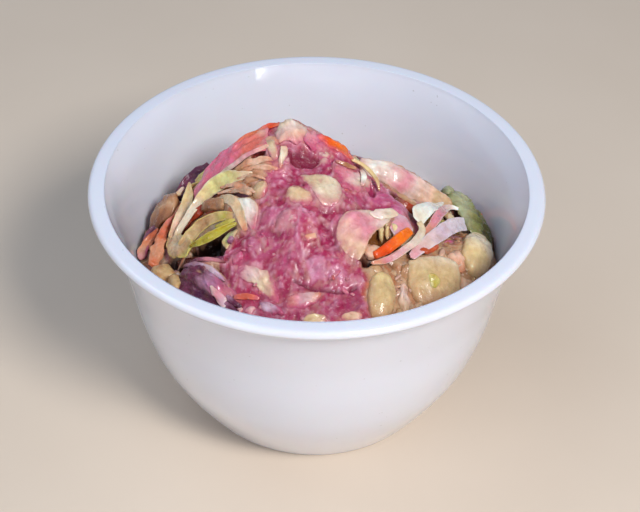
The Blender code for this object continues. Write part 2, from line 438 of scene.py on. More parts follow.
# Hollows: x, y, length, width, angle, depth, and the colour of the painted shade in the hollow.
HOLLOWS = (
    (-4.0, 2.6, 8.4, 3.0, 6, 0.7, "#862040"),
    (-14.6, 3.4, 3.0, 4.0, 25, 2.8, "#8a2a1c"),
    (13.2, -1.0, 2.2, 4.0, 20, 1.2, "#b03468"),
    (9.5, -32.0, 4.2, 5.5, 0, 0.4, "#a83a64"),
    (16.5, -15.4, 7.4, 6.0, 35, 3.6, "#8a5828"),
    (13.4, -21.4, 6.0, 3.0, 30, 0.8, "#6e2814"),
    (12.8, -22.2, 4.0, 1.3, 20, 2.4, "#3e0c06"),
    (23.0, 0.4, 8.5, 4.6, -15, 4.0, "#74241a"),
    (-28.6, -15.6, 11.0, 6.4, -14, 8.0, "#1c0406"),
    (-25.6, -11.8, 10.0, 4.0, -6, 6.0, "#1c0406"),
    (-36.8, -11.4, 5.0, 6.0, 0, 7.0, "#2c0610"),
    (-31.0, -1.6, 6.5, 4.0, -30, 4.0, "#7a140c"),
    (-25.5, 0.2, 4.0, 2.8, 0, 3.6, "#5a140c"),
    (-36.0, 16.0, 8.0, 5.0, 0, 3.0, "#3a1018"),
    (-38.5, 0.5, 3.0, 5.0, 0, 2.8, "#4a140e"),
    (-17.0, 7.6, 5.0, 2.0, 10, 2.6, "#8a3420"),
)
# A hollow's sides run out over this much more than its own length and width.
HOLLOW_SPREAD = 1.3
# The one long crease across the front of the dressing, as (x, y).
CREASE = ((-5.0, -28.0), (-2.0, -29.0), (1.0, -29.8), (4.5, -30.2), (7.5, -30.0), (10.0, -29.0))


def paint(heap, area, share, tone):
    """Lays a share of a tone over the core's colours."""
    share = share[..., None]
    heap.colours[area] = heap.colours[area] * (1 - share) + linear(tone) * share


def lay_strands(heap, share):
    """Lays a share of the covered shreds' own tones over the core's colours."""
    heap.colours += (heap.strand_tones - heap.colours) * share[..., None]


# The colours of the shreds that lie just under the dressing, in it and outside it.
STRANDS_IN_SAUCE = ("#dcb9a8", "#e0bccb", "#d4a0b4", "#b04a72", "#e6c8c0", "#cf7f9f", "#dcae9c")
STRANDS_LOOSE = ("#d8b898", "#e2cdb4", "#cfa37e", "#dcc0a4", "#c98f70", "#d3b58c", "#b98290", "#cc7a4c")
STRAND_STEP = 0.3
# How many covered shreds, lumps and grains the core's relief is made of.
STRAND_COUNT = 1500
LUMP_COUNT = 900
GRAIN_COUNT = 5000


def scatter_strands(heap, draw, count):
    """Rises and colours of the many shreds that lie just under the dressing."""
    for _ in range(count):
        radius, azimuth = STRAND_RADIUS * math.sqrt(draw.random()), draw.uniform(0, math.tau)
        x, y = radius * math.cos(azimuth), radius * math.sin(azimuth)
        choices = STRANDS_IN_SAUCE if sample(heap.sauce, x, y) > 0.5 else STRANDS_LOOSE
        tone = linear(choices[draw.integers(len(choices))])
        heading, bend = draw.uniform(0, math.tau), draw.normal() * 0.05
        half = draw.uniform(0.35, 0.9)
        rise = half * draw.uniform(0.35, 0.8)
        # Each shred is a row of small rounded steps.
        for _ in range(int(draw.uniform(10, 34))):
            area = window(heap, x, y, half)
            distance = np.hypot(heap.x[area] - x, heap.y[area] - y) / half
            height = rise * np.sqrt(np.clip(1 - distance**2, 0, 1))
            higher = height > heap.strands[area]
            heap.strands[area][higher] = height[higher]
            heap.strand_tones[area][higher] = tone
            x, y = x + STRAND_STEP * math.cos(heading), y + STRAND_STEP * math.sin(heading)
            heading += bend


def shape_core(heap):
    """Gives the core its relief."""
    draw = np.random.default_rng(5)
    scatter_strands(heap, draw, STRAND_COUNT)
    lumps = scatter_lumps(heap, draw, LUMP_COUNT, 1.2, 4.0) * 0.8
    grains = scatter_lumps(heap, draw, GRAIN_COUNT, 0.45, 1.3) * 0.75
    broad = grid_noise(heap, 6.5, 0.5) * 0.8
    fine = grid_noise(heap, 1.7, 4.5) * 0.18 + grid_noise(heap, 0.9, 7.5) * 0.16
    loose = (1 - heap.sauce) * (1 - heap.chunks)
    # How far the core stays below the CAD surface, to leave room for the pieces.
    margin = 0.6 * heap.sauce + 1.2 * heap.chunks + 2.1 * loose
    smooth_pool = ramp(grid_noise(heap, 7.0, 21.5), 0.1, 0.5)
    covered = np.maximum(lumps, heap.strands) * (1 - 0.5 * heap.sauce - 0.4 * heap.chunks)
    heap.texture = (covered + grains + fine) * (1 - 0.75 * smooth_pool * heap.sauce)
    heap.core = heap.skin - margin + broad + heap.texture
    for *oval, rise, _ in MOUNDS:
        area = window(heap, *oval[:3])
        share = dome_share(heap, area, oval)
        heap.core[area] += rise * np.sqrt(share) * ramp(share, 0, 0.3)
    for *oval, depth, _ in HOLLOWS:
        area, cut = cut_of(heap, oval, depth)
        heap.cuts[area] = np.maximum(heap.cuts[area], cut)
        heap.hollows[area] = np.maximum(heap.hollows[area], cut / depth)
    heap.core -= 0.6 * crease_share(heap)


def cut_of(heap, oval, depth):
    """Where on the plan grid a hollow is, and how deep."""
    x, y, length, width, angle = oval
    spread = (x, y, length * HOLLOW_SPREAD, width * HOLLOW_SPREAD, angle)
    area = window(heap, *spread[:3])
    return area, depth * ramp(uneven_share(heap, area, spread), 0, 0.8)


def crease_share(heap):
    """1 along the crease and 0 half a millimetre from it."""
    line = curve(np.column_stack([CREASE, np.zeros(len(CREASE))]), 60)
    nearest = np.full(heap.x.shape, 99.0)
    for x, y, _ in line:
        area = window(heap, x, y, 1.5)
        distance = np.hypot(heap.x[area] - x, heap.y[area] - y)
        nearest[area] = np.minimum(nearest[area], distance)
    return 1 - ramp(nearest, 0.0, 0.55)


# The whole of the plan grid.
EVERYWHERE = (slice(None), slice(None))


def colour_loose(heap, standing, strands):
    """Loose shreds in a thin tan dressing, with painted shade in the low places between them."""
    heap.colours[:] = linear("#b07c5c")
    paint(heap, EVERYWHERE, ramp(grid_noise(heap, 5.0, 31.5), -0.2, 0.4) * 0.5, "#c99a7c")
    paint(heap, EVERYWHERE, ramp(grid_noise(heap, 6.0, 35.5), 0.0, 0.5) * 0.5, "#b4686c")
    lay_strands(heap, strands * 0.7)
    # Painted shade in the low places between the shreds.
    paint(heap, EVERYWHERE, ramp(-standing, 0.05, 0.9) * 0.85, "#5a180c")


def colour_tan_dressing(heap, standing, strands):
    """The tan dressing around the pale chunks, with painted light on its raised places and painted shade in
    its low ones.
    """
    paint(heap, EVERYWHERE, heap.chunks * 0.75, "#c0946e")
    lay_strands(heap, strands * (heap.chunks * 0.2))
    # Painted light on raised places, then painted shade in low ones.
    paint(heap, EVERYWHERE, heap.chunks * ramp(standing, 0.0, 0.6) * 0.6, "#dcbb9c")
    paint(heap, EVERYWHERE, heap.chunks * ramp(-standing, 0.1, 0.7) * 0.7, "#86543a")


def colour_pink_dressing(heap, standing, speck, strands, broken):
    """The pink dressing: deeper in low places as pooled dressing and painted shade, paler on raised places
    as thinner dressing and painted light, with a painted sheen and glints.
    """
    grain = grid_noise(heap, 0.9, 61.5) + 0.7 * grid_noise(heap, 1.8, 63.5)
    paint(heap, EVERYWHERE, heap.sauce * 0.97, SAUCE)
    paint(heap, EVERYWHERE, heap.sauce * ramp(grid_noise(heap, 3.2, 41.5), -0.3, 0.6) * 0.5, "#cc4e80")
    lay_strands(heap, strands * (heap.sauce * (0.10 + 0.3 * broken)))
    for share, tone in (
        # Raised places paler, as thinner dressing and as painted light on their tops.
        (ramp(standing, 0.05, 0.6) * 0.35, SAUCE_PALE),
        # A painted sheen on the highest places.
        (ramp(standing, 0.35, 0.9) * 0.3, SAUCE_SHEEN),
        # Low places deeper, as pooled dressing and as painted shade.
        (ramp(-standing, 0.05, 0.6) * 0.6, SAUCE_DEEP_AND_SHADE),
        # A fine random grain: pale specks as painted glints, and darker specks.
        (ramp(grain, 0.25, 0.8) * 0.45, SAUCE_SHEEN),
        (ramp(-grain, 0.25, 0.8) * 0.4, SAUCE_DEEP_AND_SHADE),
        # Painted glints on the finest rises.
        (ramp(speck, 0.07, 0.2) * 0.4, "#f0c4d4"),
        # Darker towards the front rim.
        (ramp(-heap.y, 27, 36) * 0.3, SAUCE_DEEP_AND_SHADE),
    ):
        paint(heap, EVERYWHERE, heap.sauce * share, tone)


def colour_core(heap):
    """Gives the core its colours: what covers all of it first, then its mounds, the painted shade in its
    hollows and the painted shade along its crease.
    """
    unbedded = 1 - 0.7 * heap.bedded
    # How far each place stands above its surroundings, broadly and finely, for the painted light, glints
    # and shade that follow.
    standing = (heap.core - blur(heap.core, 1.6)) * unbedded
    speck = (heap.core - blur(heap.core, 0.5)) * unbedded
    broken = ramp(grid_noise(heap, 1.5, 51.5), -0.5, 0.5)
    strands = ramp(heap.strands, 0.05, 0.3)
    colour_loose(heap, standing, strands)
    colour_tan_dressing(heap, standing, strands)
    colour_pink_dressing(heap, standing, speck, strands, broken)
    for *oval, _, tone in MOUNDS:
        area = window(heap, *oval[:3])
        share = uneven_share(heap, area, oval)
        patchy = ramp(share + 0.35 * grid_noise(heap, 1.6, 55.5)[area], 0.1, 0.7)
        paint(heap, area, patchy * 0.4, tone)
    # Round a piece that lies in it, the dressing takes up some of the piece's own colour.
    share = (heap.bedded * (0.04 + 0.16 * broken))[..., None]
    heap.colours += (heap.bed_tones - heap.colours) * share
    # Painted shade in each hollow, darker the deeper it is.
    for *oval, depth, tone in HOLLOWS:
        area, cut = cut_of(heap, oval, depth)
        dark = min(0.97, 0.5 + 0.3 * depth)
        paint(heap, area, ramp(cut / min(depth, 2.0), 0.1, 0.6) * dark, tone)
    # Painted shade along the crease.
    paint(heap, EVERYWHERE, crease_share(heap) * 0.9, "#7c2440")


def disc(count):
    """A count by count grid, moved so that it fills the unit disc evenly."""
    axis = np.linspace(-1, 1, count)
    a, b = np.meshgrid(axis, axis)
    wide = np.abs(a) > np.abs(b)
    radius = np.where(wide, a, b)
    with np.errstate(divide="ignore", invalid="ignore"):
        angle = np.where(wide, math.pi / 4 * b / a, math.pi / 2 - math.pi / 4 * a / b)
    return radius * np.cos(angle), radius * np.sin(angle)


# The core's top is a grid of this many points each way, and its skirt has rings at these heights.
CORE_COUNT = 300
CORE_SKIRT = (40.0, 34.0, 28.0)
# Each ring of the skirt is at least this far below the one above.
SKIRT_DROP = 0.5


def build_core(heap, surface):
    """The closed core: a fine top, a skirt down the bowl's wall and a flat underside."""
    across, up = disc(CORE_COUNT)
    azimuth = np.arctan2(up, across)
    edge_height = sample(heap.core, 45 * np.cos(azimuth), 45 * np.sin(azimuth))
    reach = np.interp(edge_height, heap.wall_heights, heap.wall_radii) - WALL_CLEARANCE
    x, y = (across * reach).ravel(), (up * reach).ravel()
    top = heap.keep_in_bowl(np.column_stack([x, y, sample(heap.core, x, y)]))
    colours = sample(heap.colours, x, y)
    index = np.arange(CORE_COUNT**2).reshape(CORE_COUNT, CORE_COUNT)
    faces = np.column_stack(
        [index[:-1, :-1].ravel(), index[:-1, 1:].ravel(), index[1:, 1:].ravel(), index[1:, :-1].ravel()]
    )
    border = np.concatenate([index[0, :-1], index[:-1, -1], index[-1, :0:-1], index[:0:-1, 0]])
    points, tints, sheets = [top], [colours], [faces]
    above, made = border, len(top)
    ring = top[border]
    for height in CORE_SKIRT:
        lower = np.minimum(ring[:, 2] - SKIRT_DROP, height)
        ring = heap.keep_in_bowl(np.column_stack([ring[:, :2], lower]))
        below = made + np.arange(len(border))
        following = np.roll(np.arange(len(border)), -1)
        sheets.append(np.column_stack([above[following], above, below, below[following]]))
        points.append(ring)
        tints.append(colours[border])
        above, made = below, made + len(border)
    points.append([[0.0, 0.0, CORE_SKIRT[-1]]])
    tints.append(colours[:1])
    following = np.roll(above, -1)
    centre = np.full(len(above), made)
    triangles = np.column_stack([following, above, centre])
    shape = Shape("slaw_core", "dressing")
    shape.add(np.vstack(points), np.vstack(sheets).tolist() + triangles.tolist(), np.vstack(tints))
    piece = shape.build(surface)
    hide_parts("slaw")


# ---------------------------------------------------------------- meshes


def add_piece(name, points, faces, surface):
    """A smooth mesh from points in millimetres, riding on the part's one body."""
    mesh = bpy.data.meshes.new(name)
    mesh.from_pydata((points * MM).tolist(), [], faces)
    mesh.shade_smooth()
    mesh.materials.append(surface)
    piece = bpy.data.objects.new(name, mesh)
    bpy.context.scene.collection.objects.link(piece)
    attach(piece, "root")
    return piece


class Shape:
    """All pieces of one kind, gathered into one mesh with a colour at each point."""

    def __init__(self, name, slot):
        self.name, self.slot = name, slot
        self.points, self.faces, self.colours, self.films = [], [], [], []
        self.count = 0

    def add(self, points, faces, colours, film=0.0):
        """film is how much dressing lies over each point, as one number or one for each point."""
        self.points.append(np.asarray(points))
        self.colours.append(np.asarray(colours))
        self.films.append(np.broadcast_to(film, len(points)))
        self.faces.extend(tuple(int(corner) + self.count for corner in face) for face in faces)
        self.count += len(points)

    def build(self, surface, heap=None):
        """Makes the mesh, with the dressing laid over its colours if heap is given."""
        points, colours = np.vstack(self.points), np.vstack(self.colours)
        if heap is not None:
            colours = filmed(heap, points, colours, np.concatenate(self.films))
        piece = add_piece(self.name, points, self.faces, surface)
        attribute = piece.data.color_attributes.new("tint", "FLOAT_COLOR", "POINT")
        rgba = np.column_stack([np.clip(colours, 0, 1), np.ones(len(colours))])
        attribute.data.foreach_set("color", rgba.astype(np.float32).ravel())
        piece.data.update()
        return piece


def filmed(heap, points, colours, film):
    """Colours with the dressing over them: thick near the core's surface and in blotches above it."""
    above = points[:, 2] - sample(heap.core, points[:, 0], points[:, 1])
    pink = sample(heap.sauce, points[:, 0], points[:, 1])[:, None]
    blotches = 0.6 * NOISE.at(points + 7.7, 2.4) + 0.35 * NOISE.at(points + 3.1, 0.9)
    low = 1 - ramp(above + 0.5 * blotches, -0.3, 0.35)
    thin = np.clip(film + 0.45 * blotches, 0, 1) ** 1.5
    share = np.clip(low * 0.85 + thin, 0, 0.92)[:, None]
    dressing = (linear(SAUCE) + linear(SAUCE_PALE)) / 2 * pink + linear(TAN_DRESSING) * (1 - pink)
    return colours * (1 - share) + dressing * share


def blend_tones(tones, share):
    """Colours along a line of named tones, at shares from 0 to 1."""
    stops = np.array(shades(tones))
    if len(stops) == 1:
        return np.repeat(stops, len(share), axis=0)
    at = np.linspace(0, 1, len(stops))
    return np.column_stack([np.interp(share, at, stops[:, channel]) for channel in range(3)])


def shaded(colours, points, lighter):
    """Colours made lighter by a share, or darker and redder where it is below 0, with a fine grain."""
    grain = 0.12 * NOISE.at(points + 21, 0.95) + 0.08 * NOISE.at(points + 27, 1.9)
    return colours * (1 + (lighter + grain)[:, None] * (0.6, 1.0, 1.25))


def veins_on(lane):
    """The broad and the fine veins of a piece, at places (across it, along it, 0)."""
    return NOISE.at(lane, 1.1), NOISE.at(lane, 0.45)


def relief(points, broad, veins, wrinkle):
    """How far a piece's broad folds, its veins and its finer wrinkles raise each point."""
    return wrinkle * (broad + 0.9 * veins[0] + 0.5 * NOISE.at(points + 5.5, 0.8) + 0.25 * veins[1])


def tinted(points, run, tones, veins, streaks, edge, edge_share, fringe):
    """A colour for each point of a piece.

    tones follow each other at run, from 0 to 1, veins streak them, and the tone edge lies round them.
    fringe is how uneven that border is and where it begins, as shares of the way to the edge.
    """
    wander = 0.10 * NOISE.at(points + 17, 2.6)
    colours = blend_tones(tones, np.clip(run + wander, 0, 1))
    mottle = NOISE.at(points + 9.1, 1.7)
    colours = shaded(colours, points, streaks * (0.6 * veins[1] + 0.6 * veins[0]) + 0.12 * mottle)
    if edge is not None:
        uneven, inner = fringe
        border = 0.7 * ramp(edge_share + uneven * mottle, inner, 1.0)[:, None]
        colours = colours * (1 - border) + linear(TONES[edge]) * border
    return colours


def quads(index, around_first=False):
    """Quads between the rows of an index table, whose columns close into rings."""
    beside = np.roll(index, -1, axis=1)
    corners = [index[:-1], index[1:], beside[1:], beside[:-1]]
    if around_first:
        corners = [index[:-1], beside[:-1], beside[1:], index[1:]]
    return np.stack(corners, axis=-1).reshape(-1, 4).tolist()


# The direction that pieces on the front of the heap turn their flat sides to.
TO_FRONT = np.array([0.0, -0.77, 0.63])
RIBBON_FRINGE = (0.12, 0.72)
LEAF_FRINGE = (0.06, 0.82)
# A rounded end keeps the square root of this share of its width.
END_THINNEST = 0.04


def widths_along(widths, along, ends):
    """The width at each station: widths at even shares of the length, rounded off over both ends."""
    width = np.interp(along / along[-1], np.linspace(0, 1, len(widths)), widths)
    for near, rounding in zip((along, along[-1] - along), ends):
        if rounding > 0:
            inward = np.clip(1 - near / rounding, 0, 1)
            width = width * np.sqrt(np.maximum(1 - inward**2, END_THINNEST))
    return width


def axes_along(heap, centre, facing, turn):
    """The directions along a ribbon, across it and out of its flat side. turn is in degrees."""
    tangent = unit(np.gradient(centre, axis=0))
    outward = unit(heap.normals(centre) * (1 - facing) + TO_FRONT * facing)
    side = unit(np.cross(tangent, outward))
    normal = unit(np.cross(side, tangent))
    turn = np.radians(turn)[:, None]
    turned_side = side * np.cos(turn) + normal * np.sin(turn)
    turned_normal = normal * np.cos(turn) - side * np.sin(turn)
    return tangent, turned_side, turned_normal


def torn_edges(along, seed, ragged):
    """How far each long edge is torn in or out at each station, as a share of half the width."""
    torn = []
    for shift in (0.0, 50.0):
        line = np.column_stack([along, np.full(len(along), shift), np.zeros(len(along))]) + seed
        torn.append(ragged * (NOISE.at(line, 2.6) + 0.6 * NOISE.at(line, 1.0)))
    return torn


def torn_ends(along, ring_u, half, seed, jag):
    """How far each point is moved along the ribbon, so that its ends are torn across."""
    across = np.column_stack([ring_u * half[0], ring_u * half[-1], np.zeros(len(ring_u))]) + seed
    start, end = across[:, [0, 2, 2]], across[:, [1, 2, 2]] + 9
    push = np.zeros((len(along), len(ring_u)))
    for near, line, sign in ((along, start, -1), (along[-1] - along, end, 1)):
        push += sign * jag * np.exp(-near / 0.9)[:, None] * (NOISE.at(line, 1.3) * 1.4)[None, :]
    return push


def ribbon(
    shape, heap, path, widths, tones, thick=0.7, edge=None, facing=0.8, lean=0.0, twist=0.0, cup=0.0,
    ruffle=0.0, boxy=5.0, ends=(0.5, 0.5), ragged=0.10, jag=0.5, wrinkle=0.14, film=0.0, streaks=0.14,
    bed=0.0, columns=15, spacing=0.38,
):
    """A shred, leaf or stick along a path of (x, y, lift).

    widths are given at even shares of its length. facing turns its flat side from the heap's own
    direction towards the front, lean and twist turn it further, in degrees. cup bends it across, as a
    share of its width, and ruffle waves its edges. boxy is 2 for an oval section and more for a squarer
    one. ragged tears its edges, jag its ends, and wrinkle ridges it along its length. A piece with a bed
    has the dressing drawn up under it.
    """
    centre, along = evenly(heap.place(path), spacing)
    stations, length = len(centre), along[-1]
    share = along / length
    width = widths_along(widths, along, ends)
    half = (width / 2)[:, None]
    tangent, side, normal = axes_along(heap, centre, facing, lean + twist * share)
    # The section, from one edge over the upper side to the other edge, and back under it.
    u = np.sin(np.linspace(-math.pi / 2, math.pi / 2, columns))
    profile = np.maximum(1 - np.abs(u) ** boxy, 0) ** (1 / boxy)
    ring_u = np.concatenate([u, u[-2:0:-1]])
    ring_v = np.concatenate([profile, -profile[-2:0:-1]])
    ring = len(ring_u)
    seed = centre[0] * 3.1
    left_torn, right_torn = torn_edges(along, seed, ragged)
    reach = np.where(ring_u < 0, 1 + left_torn[:, None], 1 + right_torn[:, None])
    offset_side = ring_u * half * reach
    taper = np.minimum(1, width / (0.25 * max(widths)))[:, None]
    offset_up = ring_v * thick / 2 * taper + cup * (ring_u**2 - 0.3) * half
    push = torn_ends(along, ring_u, half, seed, jag)
    points = centre[:, None, :] + side[:, None, :] * offset_side[..., None]
    points = points + normal[:, None, :] * offset_up[..., None] + tangent[:, None, :] * push[..., None]
    points = points.reshape(-1, 3)
    edge_share = np.tile(np.abs(ring_u), stations)
    lane = np.column_stack([offset_side.ravel(), np.repeat(along, ring) * 0.2, np.zeros(len(points))])
    veins = veins_on(lane + seed)
    wave = NOISE.at(points + 13.3, 3.6) * ruffle * edge_share**2
    raised = wave + relief(points, NOISE.at(points, 2.2), veins, wrinkle)
    points = points + np.repeat(normal, ring, axis=0) * raised[:, None]
    run = np.repeat(share, ring)
    colours = tinted(points, run, tones, veins, streaks, edge, edge_share, RIBBON_FRINGE)
    if bed > 0:
        under = centre[:, None, :] + side[:, None, :] * (u * half)[..., None]
        under = under - normal[:, None, :] * thick * 0.35
        upper = colours.reshape(stations, ring, 3)[:, :columns].reshape(-1, 3)
        heap.lay(under.reshape(-1, 3), upper, bed, np.tile(np.abs(u), stations))
        from_end = np.repeat(np.minimum(along, length - along), ring)
        sunk = np.maximum(0.8 * ramp(edge_share, 0.6, 1.05), 1 - ramp(from_end, 0, 2.5))
        film = np.maximum(film, bed * sunk)
    index = np.arange(stations * ring).reshape(stations, ring)
    faces = quads(index, around_first=True) + [index[0][::-1].tolist(), index[-1].tolist()]
    shape.add(heap.keep_in_bowl(points), faces, colours, film)


def rim_through(corners, spacing):
    """Points a short distance apart along the straight sides between corners, with the corners rounded."""
    sides = []
    for start, end in zip(corners, np.roll(corners, -1, axis=0)):
        count = max(2, int(np.linalg.norm(end[:2] - start[:2]) / spacing))
        sides.append(start + (end - start) * (np.arange(count) / count)[:, None])
    rim = np.vstack(sides)
    for _ in range(3):
        rim = (np.roll(rim, 1, axis=0) + 2 * rim + np.roll(rim, -1, axis=0)) / 4
    return rim


def is_clockwise(rim):
    """Whether a closed line runs clockwise, seen from above."""
    onward = np.roll(rim, -1, axis=0)
    return np.sum(rim[:, 0] * onward[:, 1] - onward[:, 0] * rim[:, 1]) < 0


def torn_rim(rim, ragged):
    """How far each point of a leaf's edge is torn in or out, as (x, y)."""
    heading = unit(np.roll(rim, -1, axis=0)[:, :2] - np.roll(rim, 1, axis=0)[:, :2])
    torn = ragged * (NOISE.at(rim + 3.3, 2.2) + 0.7 * NOISE.at(rim + 6.6, 0.9))
    return np.column_stack([heading[:, 1], -heading[:, 0]]) * torn[:, None]


def leaf(
    shape, heap, outline, tones, thick=0.6, grain=0.0, bulge=0.3, edge=None, ragged=0.25, wrinkle=0.16,
    boxy=5.0, film=0.0, streaks=0.14, bed=0.0, spacing=0.45,
):
    """A cut piece with its edge through a list of (x, y, lift).

    tones run across it in the direction grain, in degrees from +X, and its veins lie that way. bulge
    lifts its middle. The other sizes are a ribbon's.
    """
    rim = rim_through(np.asarray(outline, float) - (0, 0, BED_SINK * bed), spacing)
    push = torn_rim(rim, ragged)
    centre = rim.mean(axis=0) + (0, 0, bulge)
    span = np.linalg.norm(rim[:, :2] - centre[:2], axis=1).max()
    # The rings between the middle and the edge, with a few more where the edge rounds over.
    inner = np.linspace(0, 1, max(6, int(span / 0.6)))[1:] ** 0.9
    rounded = (0.985, 0.996, 1.0) if thick < 2 else (0.95, 0.985, 0.998)
    shares = np.concatenate([inner[inner < 0.93], rounded])
    rings, around = len(shares), len(rim)
    flat = centre + (rim - centre) * shares[:, None, None]
    flat[..., :2] += push * shares[:, None, None] ** 5
    flat[..., 2] += (bulge * (1 - shares**2) - bulge * (1 - shares))[:, None]
    middle = heap.place(flat.reshape(-1, 3))
    depth = np.repeat(np.maximum(1 - shares**boxy, 0) ** (1 / boxy), around)
    outward = heap.normals(middle)
    points = np.vstack([middle + outward * (way * thick / 2 * depth)[:, None] for way in (1, -1)])
    turn = math.radians(grain)
    off = points[:, :2] - centre[:2]
    along = off @ (math.cos(turn), math.sin(turn))
    across = off @ (-math.sin(turn), math.cos(turn))
    veins = veins_on(np.column_stack([across, along * 0.2, np.zeros(len(points))]) + centre * 2.7)
    raised = relief(points, NOISE.at(points, 2.4) * 1.3, veins, wrinkle)
    points = points + heap.normals(points) * raised[:, None]
    run = (along - along.min()) / (along.max() - along.min())
    edge_share = np.tile(np.repeat(shares, around), 2)
    colours = tinted(points, run, tones, veins, streaks, edge, edge_share, LEAF_FRINGE)
    if bed > 0:
        upper = slice(len(middle))
        under = (0.35 * thick * (1 - ramp(edge_share, 0.7, 1.0)))[upper, None] * (0, 0, 1)
        heap.lay(middle - under, colours[upper], bed, edge_share[upper])
        downhill = (centre[1] - points[:, 1]) / span
        film = np.maximum(film, bed * ramp(edge_share + 0.4 * downhill, 0.3, 1.25))
    # The upper side, the lower side and the edge between them, and the middle of both sides.
    index = np.arange(2 * rings * around).reshape(2, rings, around)
    faces = quads(index[0]) + quads(index[1], around_first=True) + quads(index[:, -1])
    faces += [index[0, 0].tolist(), index[1, 0][::-1].tolist()]
    if is_clockwise(rim):
        faces = [face[::-1] for face in faces]
    shape.add(heap.keep_in_bowl(points), faces, colours, film)


def directions(rings, sectors):
    """Directions all round a middle, in rings from the top down."""
    polar = np.linspace(0.04, math.pi - 0.04, rings)
    around = np.linspace(0, math.tau, sectors, endpoint=False)
    polar, around = (part.ravel() for part in np.meshgrid(polar, around, indexing="ij"))
    flat = np.sin(polar)
    return np.column_stack([flat * np.cos(around), flat * np.sin(around), np.cos(polar)])


def chunk(
    shape, heap, place, radii, tones, yaw=0.0, tilt=(0.0, 0.0), square=2.5, cuts=6, rough=0.35, film=0.0,
    bed=0.0, rings=26, sectors=40,
):
    """A lump with its middle at (x, y, lift). square is 2 for an ovoid and more for a block.

    cuts is how many knife cuts leave flat places on it, and rough how uneven the rest is.
    """
    direction = directions(rings, sectors)
    body = direction / ((np.abs(direction) ** square).sum(axis=1) ** (1 / square))[:, None]
    middle = heap.place([place])[0]
    draw = np.random.default_rng(int(abs(middle[0]) * 100 + abs(middle[1]) * 10))
    for _ in range(cuts):
        cut = unit(draw.normal(size=3) * (1, 1, 0.8))
        over = body @ cut - draw.uniform(0.72, 0.92)
        body = body - np.maximum(over, 0)[:, None] * cut * 0.92
    body = body * np.array(radii)
    body = body * (1 + rough * 0.35 * NOISE.at(body + middle, max(radii) * 0.9))[:, None]
    body += direction * (rough * 0.30 * NOISE.at(body + middle + 3, 1.6))[:, None]
    body += direction * (rough * 0.16 * NOISE.at(body + middle + 5, 0.7))[:, None]
    turn = Matrix.Identity(3)
    for degrees, axis in ((yaw, "Z"), (tilt[0], "X"), (tilt[1], "Y")):
        turn = turn @ Matrix.Rotation(math.radians(degrees), 3, axis)
    points = body @ np.array(turn).T + middle
    mottle = ramp(NOISE.at(points + 2.3, 2.6), -0.6, 0.6)
    colours = shaded(blend_tones(tones, mottle), points, 0)
    if bed > 0:
        wide = np.abs(direction[:, 2]) < 0.4
        for share in (1.0, 0.5):
            laid = middle + (points[wide] - middle) * share - (0, 0, 0.6)
            heap.lay(laid, colours[wide], bed, np.full(len(laid), share))
    index = np.arange(rings * sectors).reshape(rings, sectors)
    faces = quads(index) + [index[0].tolist(), index[-1][::-1].tolist()]
    shape.add(heap.keep_in_bowl(points), faces, colours, film)


# ---------------------------------------------------------------- the pieces that show, from left to right


def ridge_leaf(slaw):
    """The coral and pink leaf along the ridge, with a fold below whose whitish tones are partly painted
    highlight, and a dark leaf behind.
    """
    slaw.leaf(
        "purple",
        [(-12.5, 11.5, 0.8), (-19.5, 12, 1.8), (-25, 12.5, 2.2), (-29, 11.5, 1.8), (-31.4, 8, 1.3),
         (-30.8, 4.8, 0.7), (-26, 6.4, 1.4), (-22.5, 5.4, 1.5), (-19, 4.6, 1.4), (-12.5, 3.2, 1.0)],
        "peach coral coral pink pink pink rose", 188, edge="pink", bulge=0.6, wrinkle=0.3, streaks=0.2,
        ragged=0.3, bed=0.3,
    )
    slaw.ribbon(
        "carrot", [(-15, 11.2, 1.6), (-18.5, 10.6, 2.3), (-21.5, 10.4, 2.3)], (0.6, 1.3, 0.6),
        "carrot coral", thick=0.5, film=0.3, ragged=0.2,
    )
    # The fold below: a pale ribbon, its whitish tones partly its own colour and partly painted highlight.
    slaw.ribbon(
        "pale", [(-12, 4, 1.2), (-17.5, 4.2, 1.8), (-21, 4.6, 1.9), (-25, 5.8, 1.6), (-29, 5, 1.2)],
        (0.9, 1.2, 1.2, 0.9, 0.4), "peach rose blush blush pink", wrinkle=0.24, cup=0.2,
    )
    slaw.ribbon(
        "purple", [(-27.5, 16.5, -0.4), (-31.5, 15.5, 1.0), (-34.6, 13, 0.8), (-36, 10.5, -0.2)],
        (3.0, 4.0, 3.6, 2.4), "plum violet plum violet", cup=0.2, ruffle=0.6, wrinkle=0.3, ragged=0.16,
    )


def brown_piece(slaw):
    """The brown piece against the wall."""
    slaw.leaf(
        "pale",
        [(-36.3, 13, 1.0), (-35.5, 9, 1.3), (-36, 6.5, 1.4), (-38, 4.5, 1.0), (-41, 3.8, 0.4),
         (-42.8, 6.5, 0), (-43.2, 10, 0.2), (-41.5, 12.8, 0.6), (-39, 14, 0.9)],
        "dun brown tan brown umber", 250, thick=2.4, boxy=2.8, bulge=1.0, wrinkle=0.35,
    )
    slaw.ribbon("pale", [(-34.4, 12.4, 1.6), (-36, 10, 1.8)], (1.0, 1.6), "blush beige")


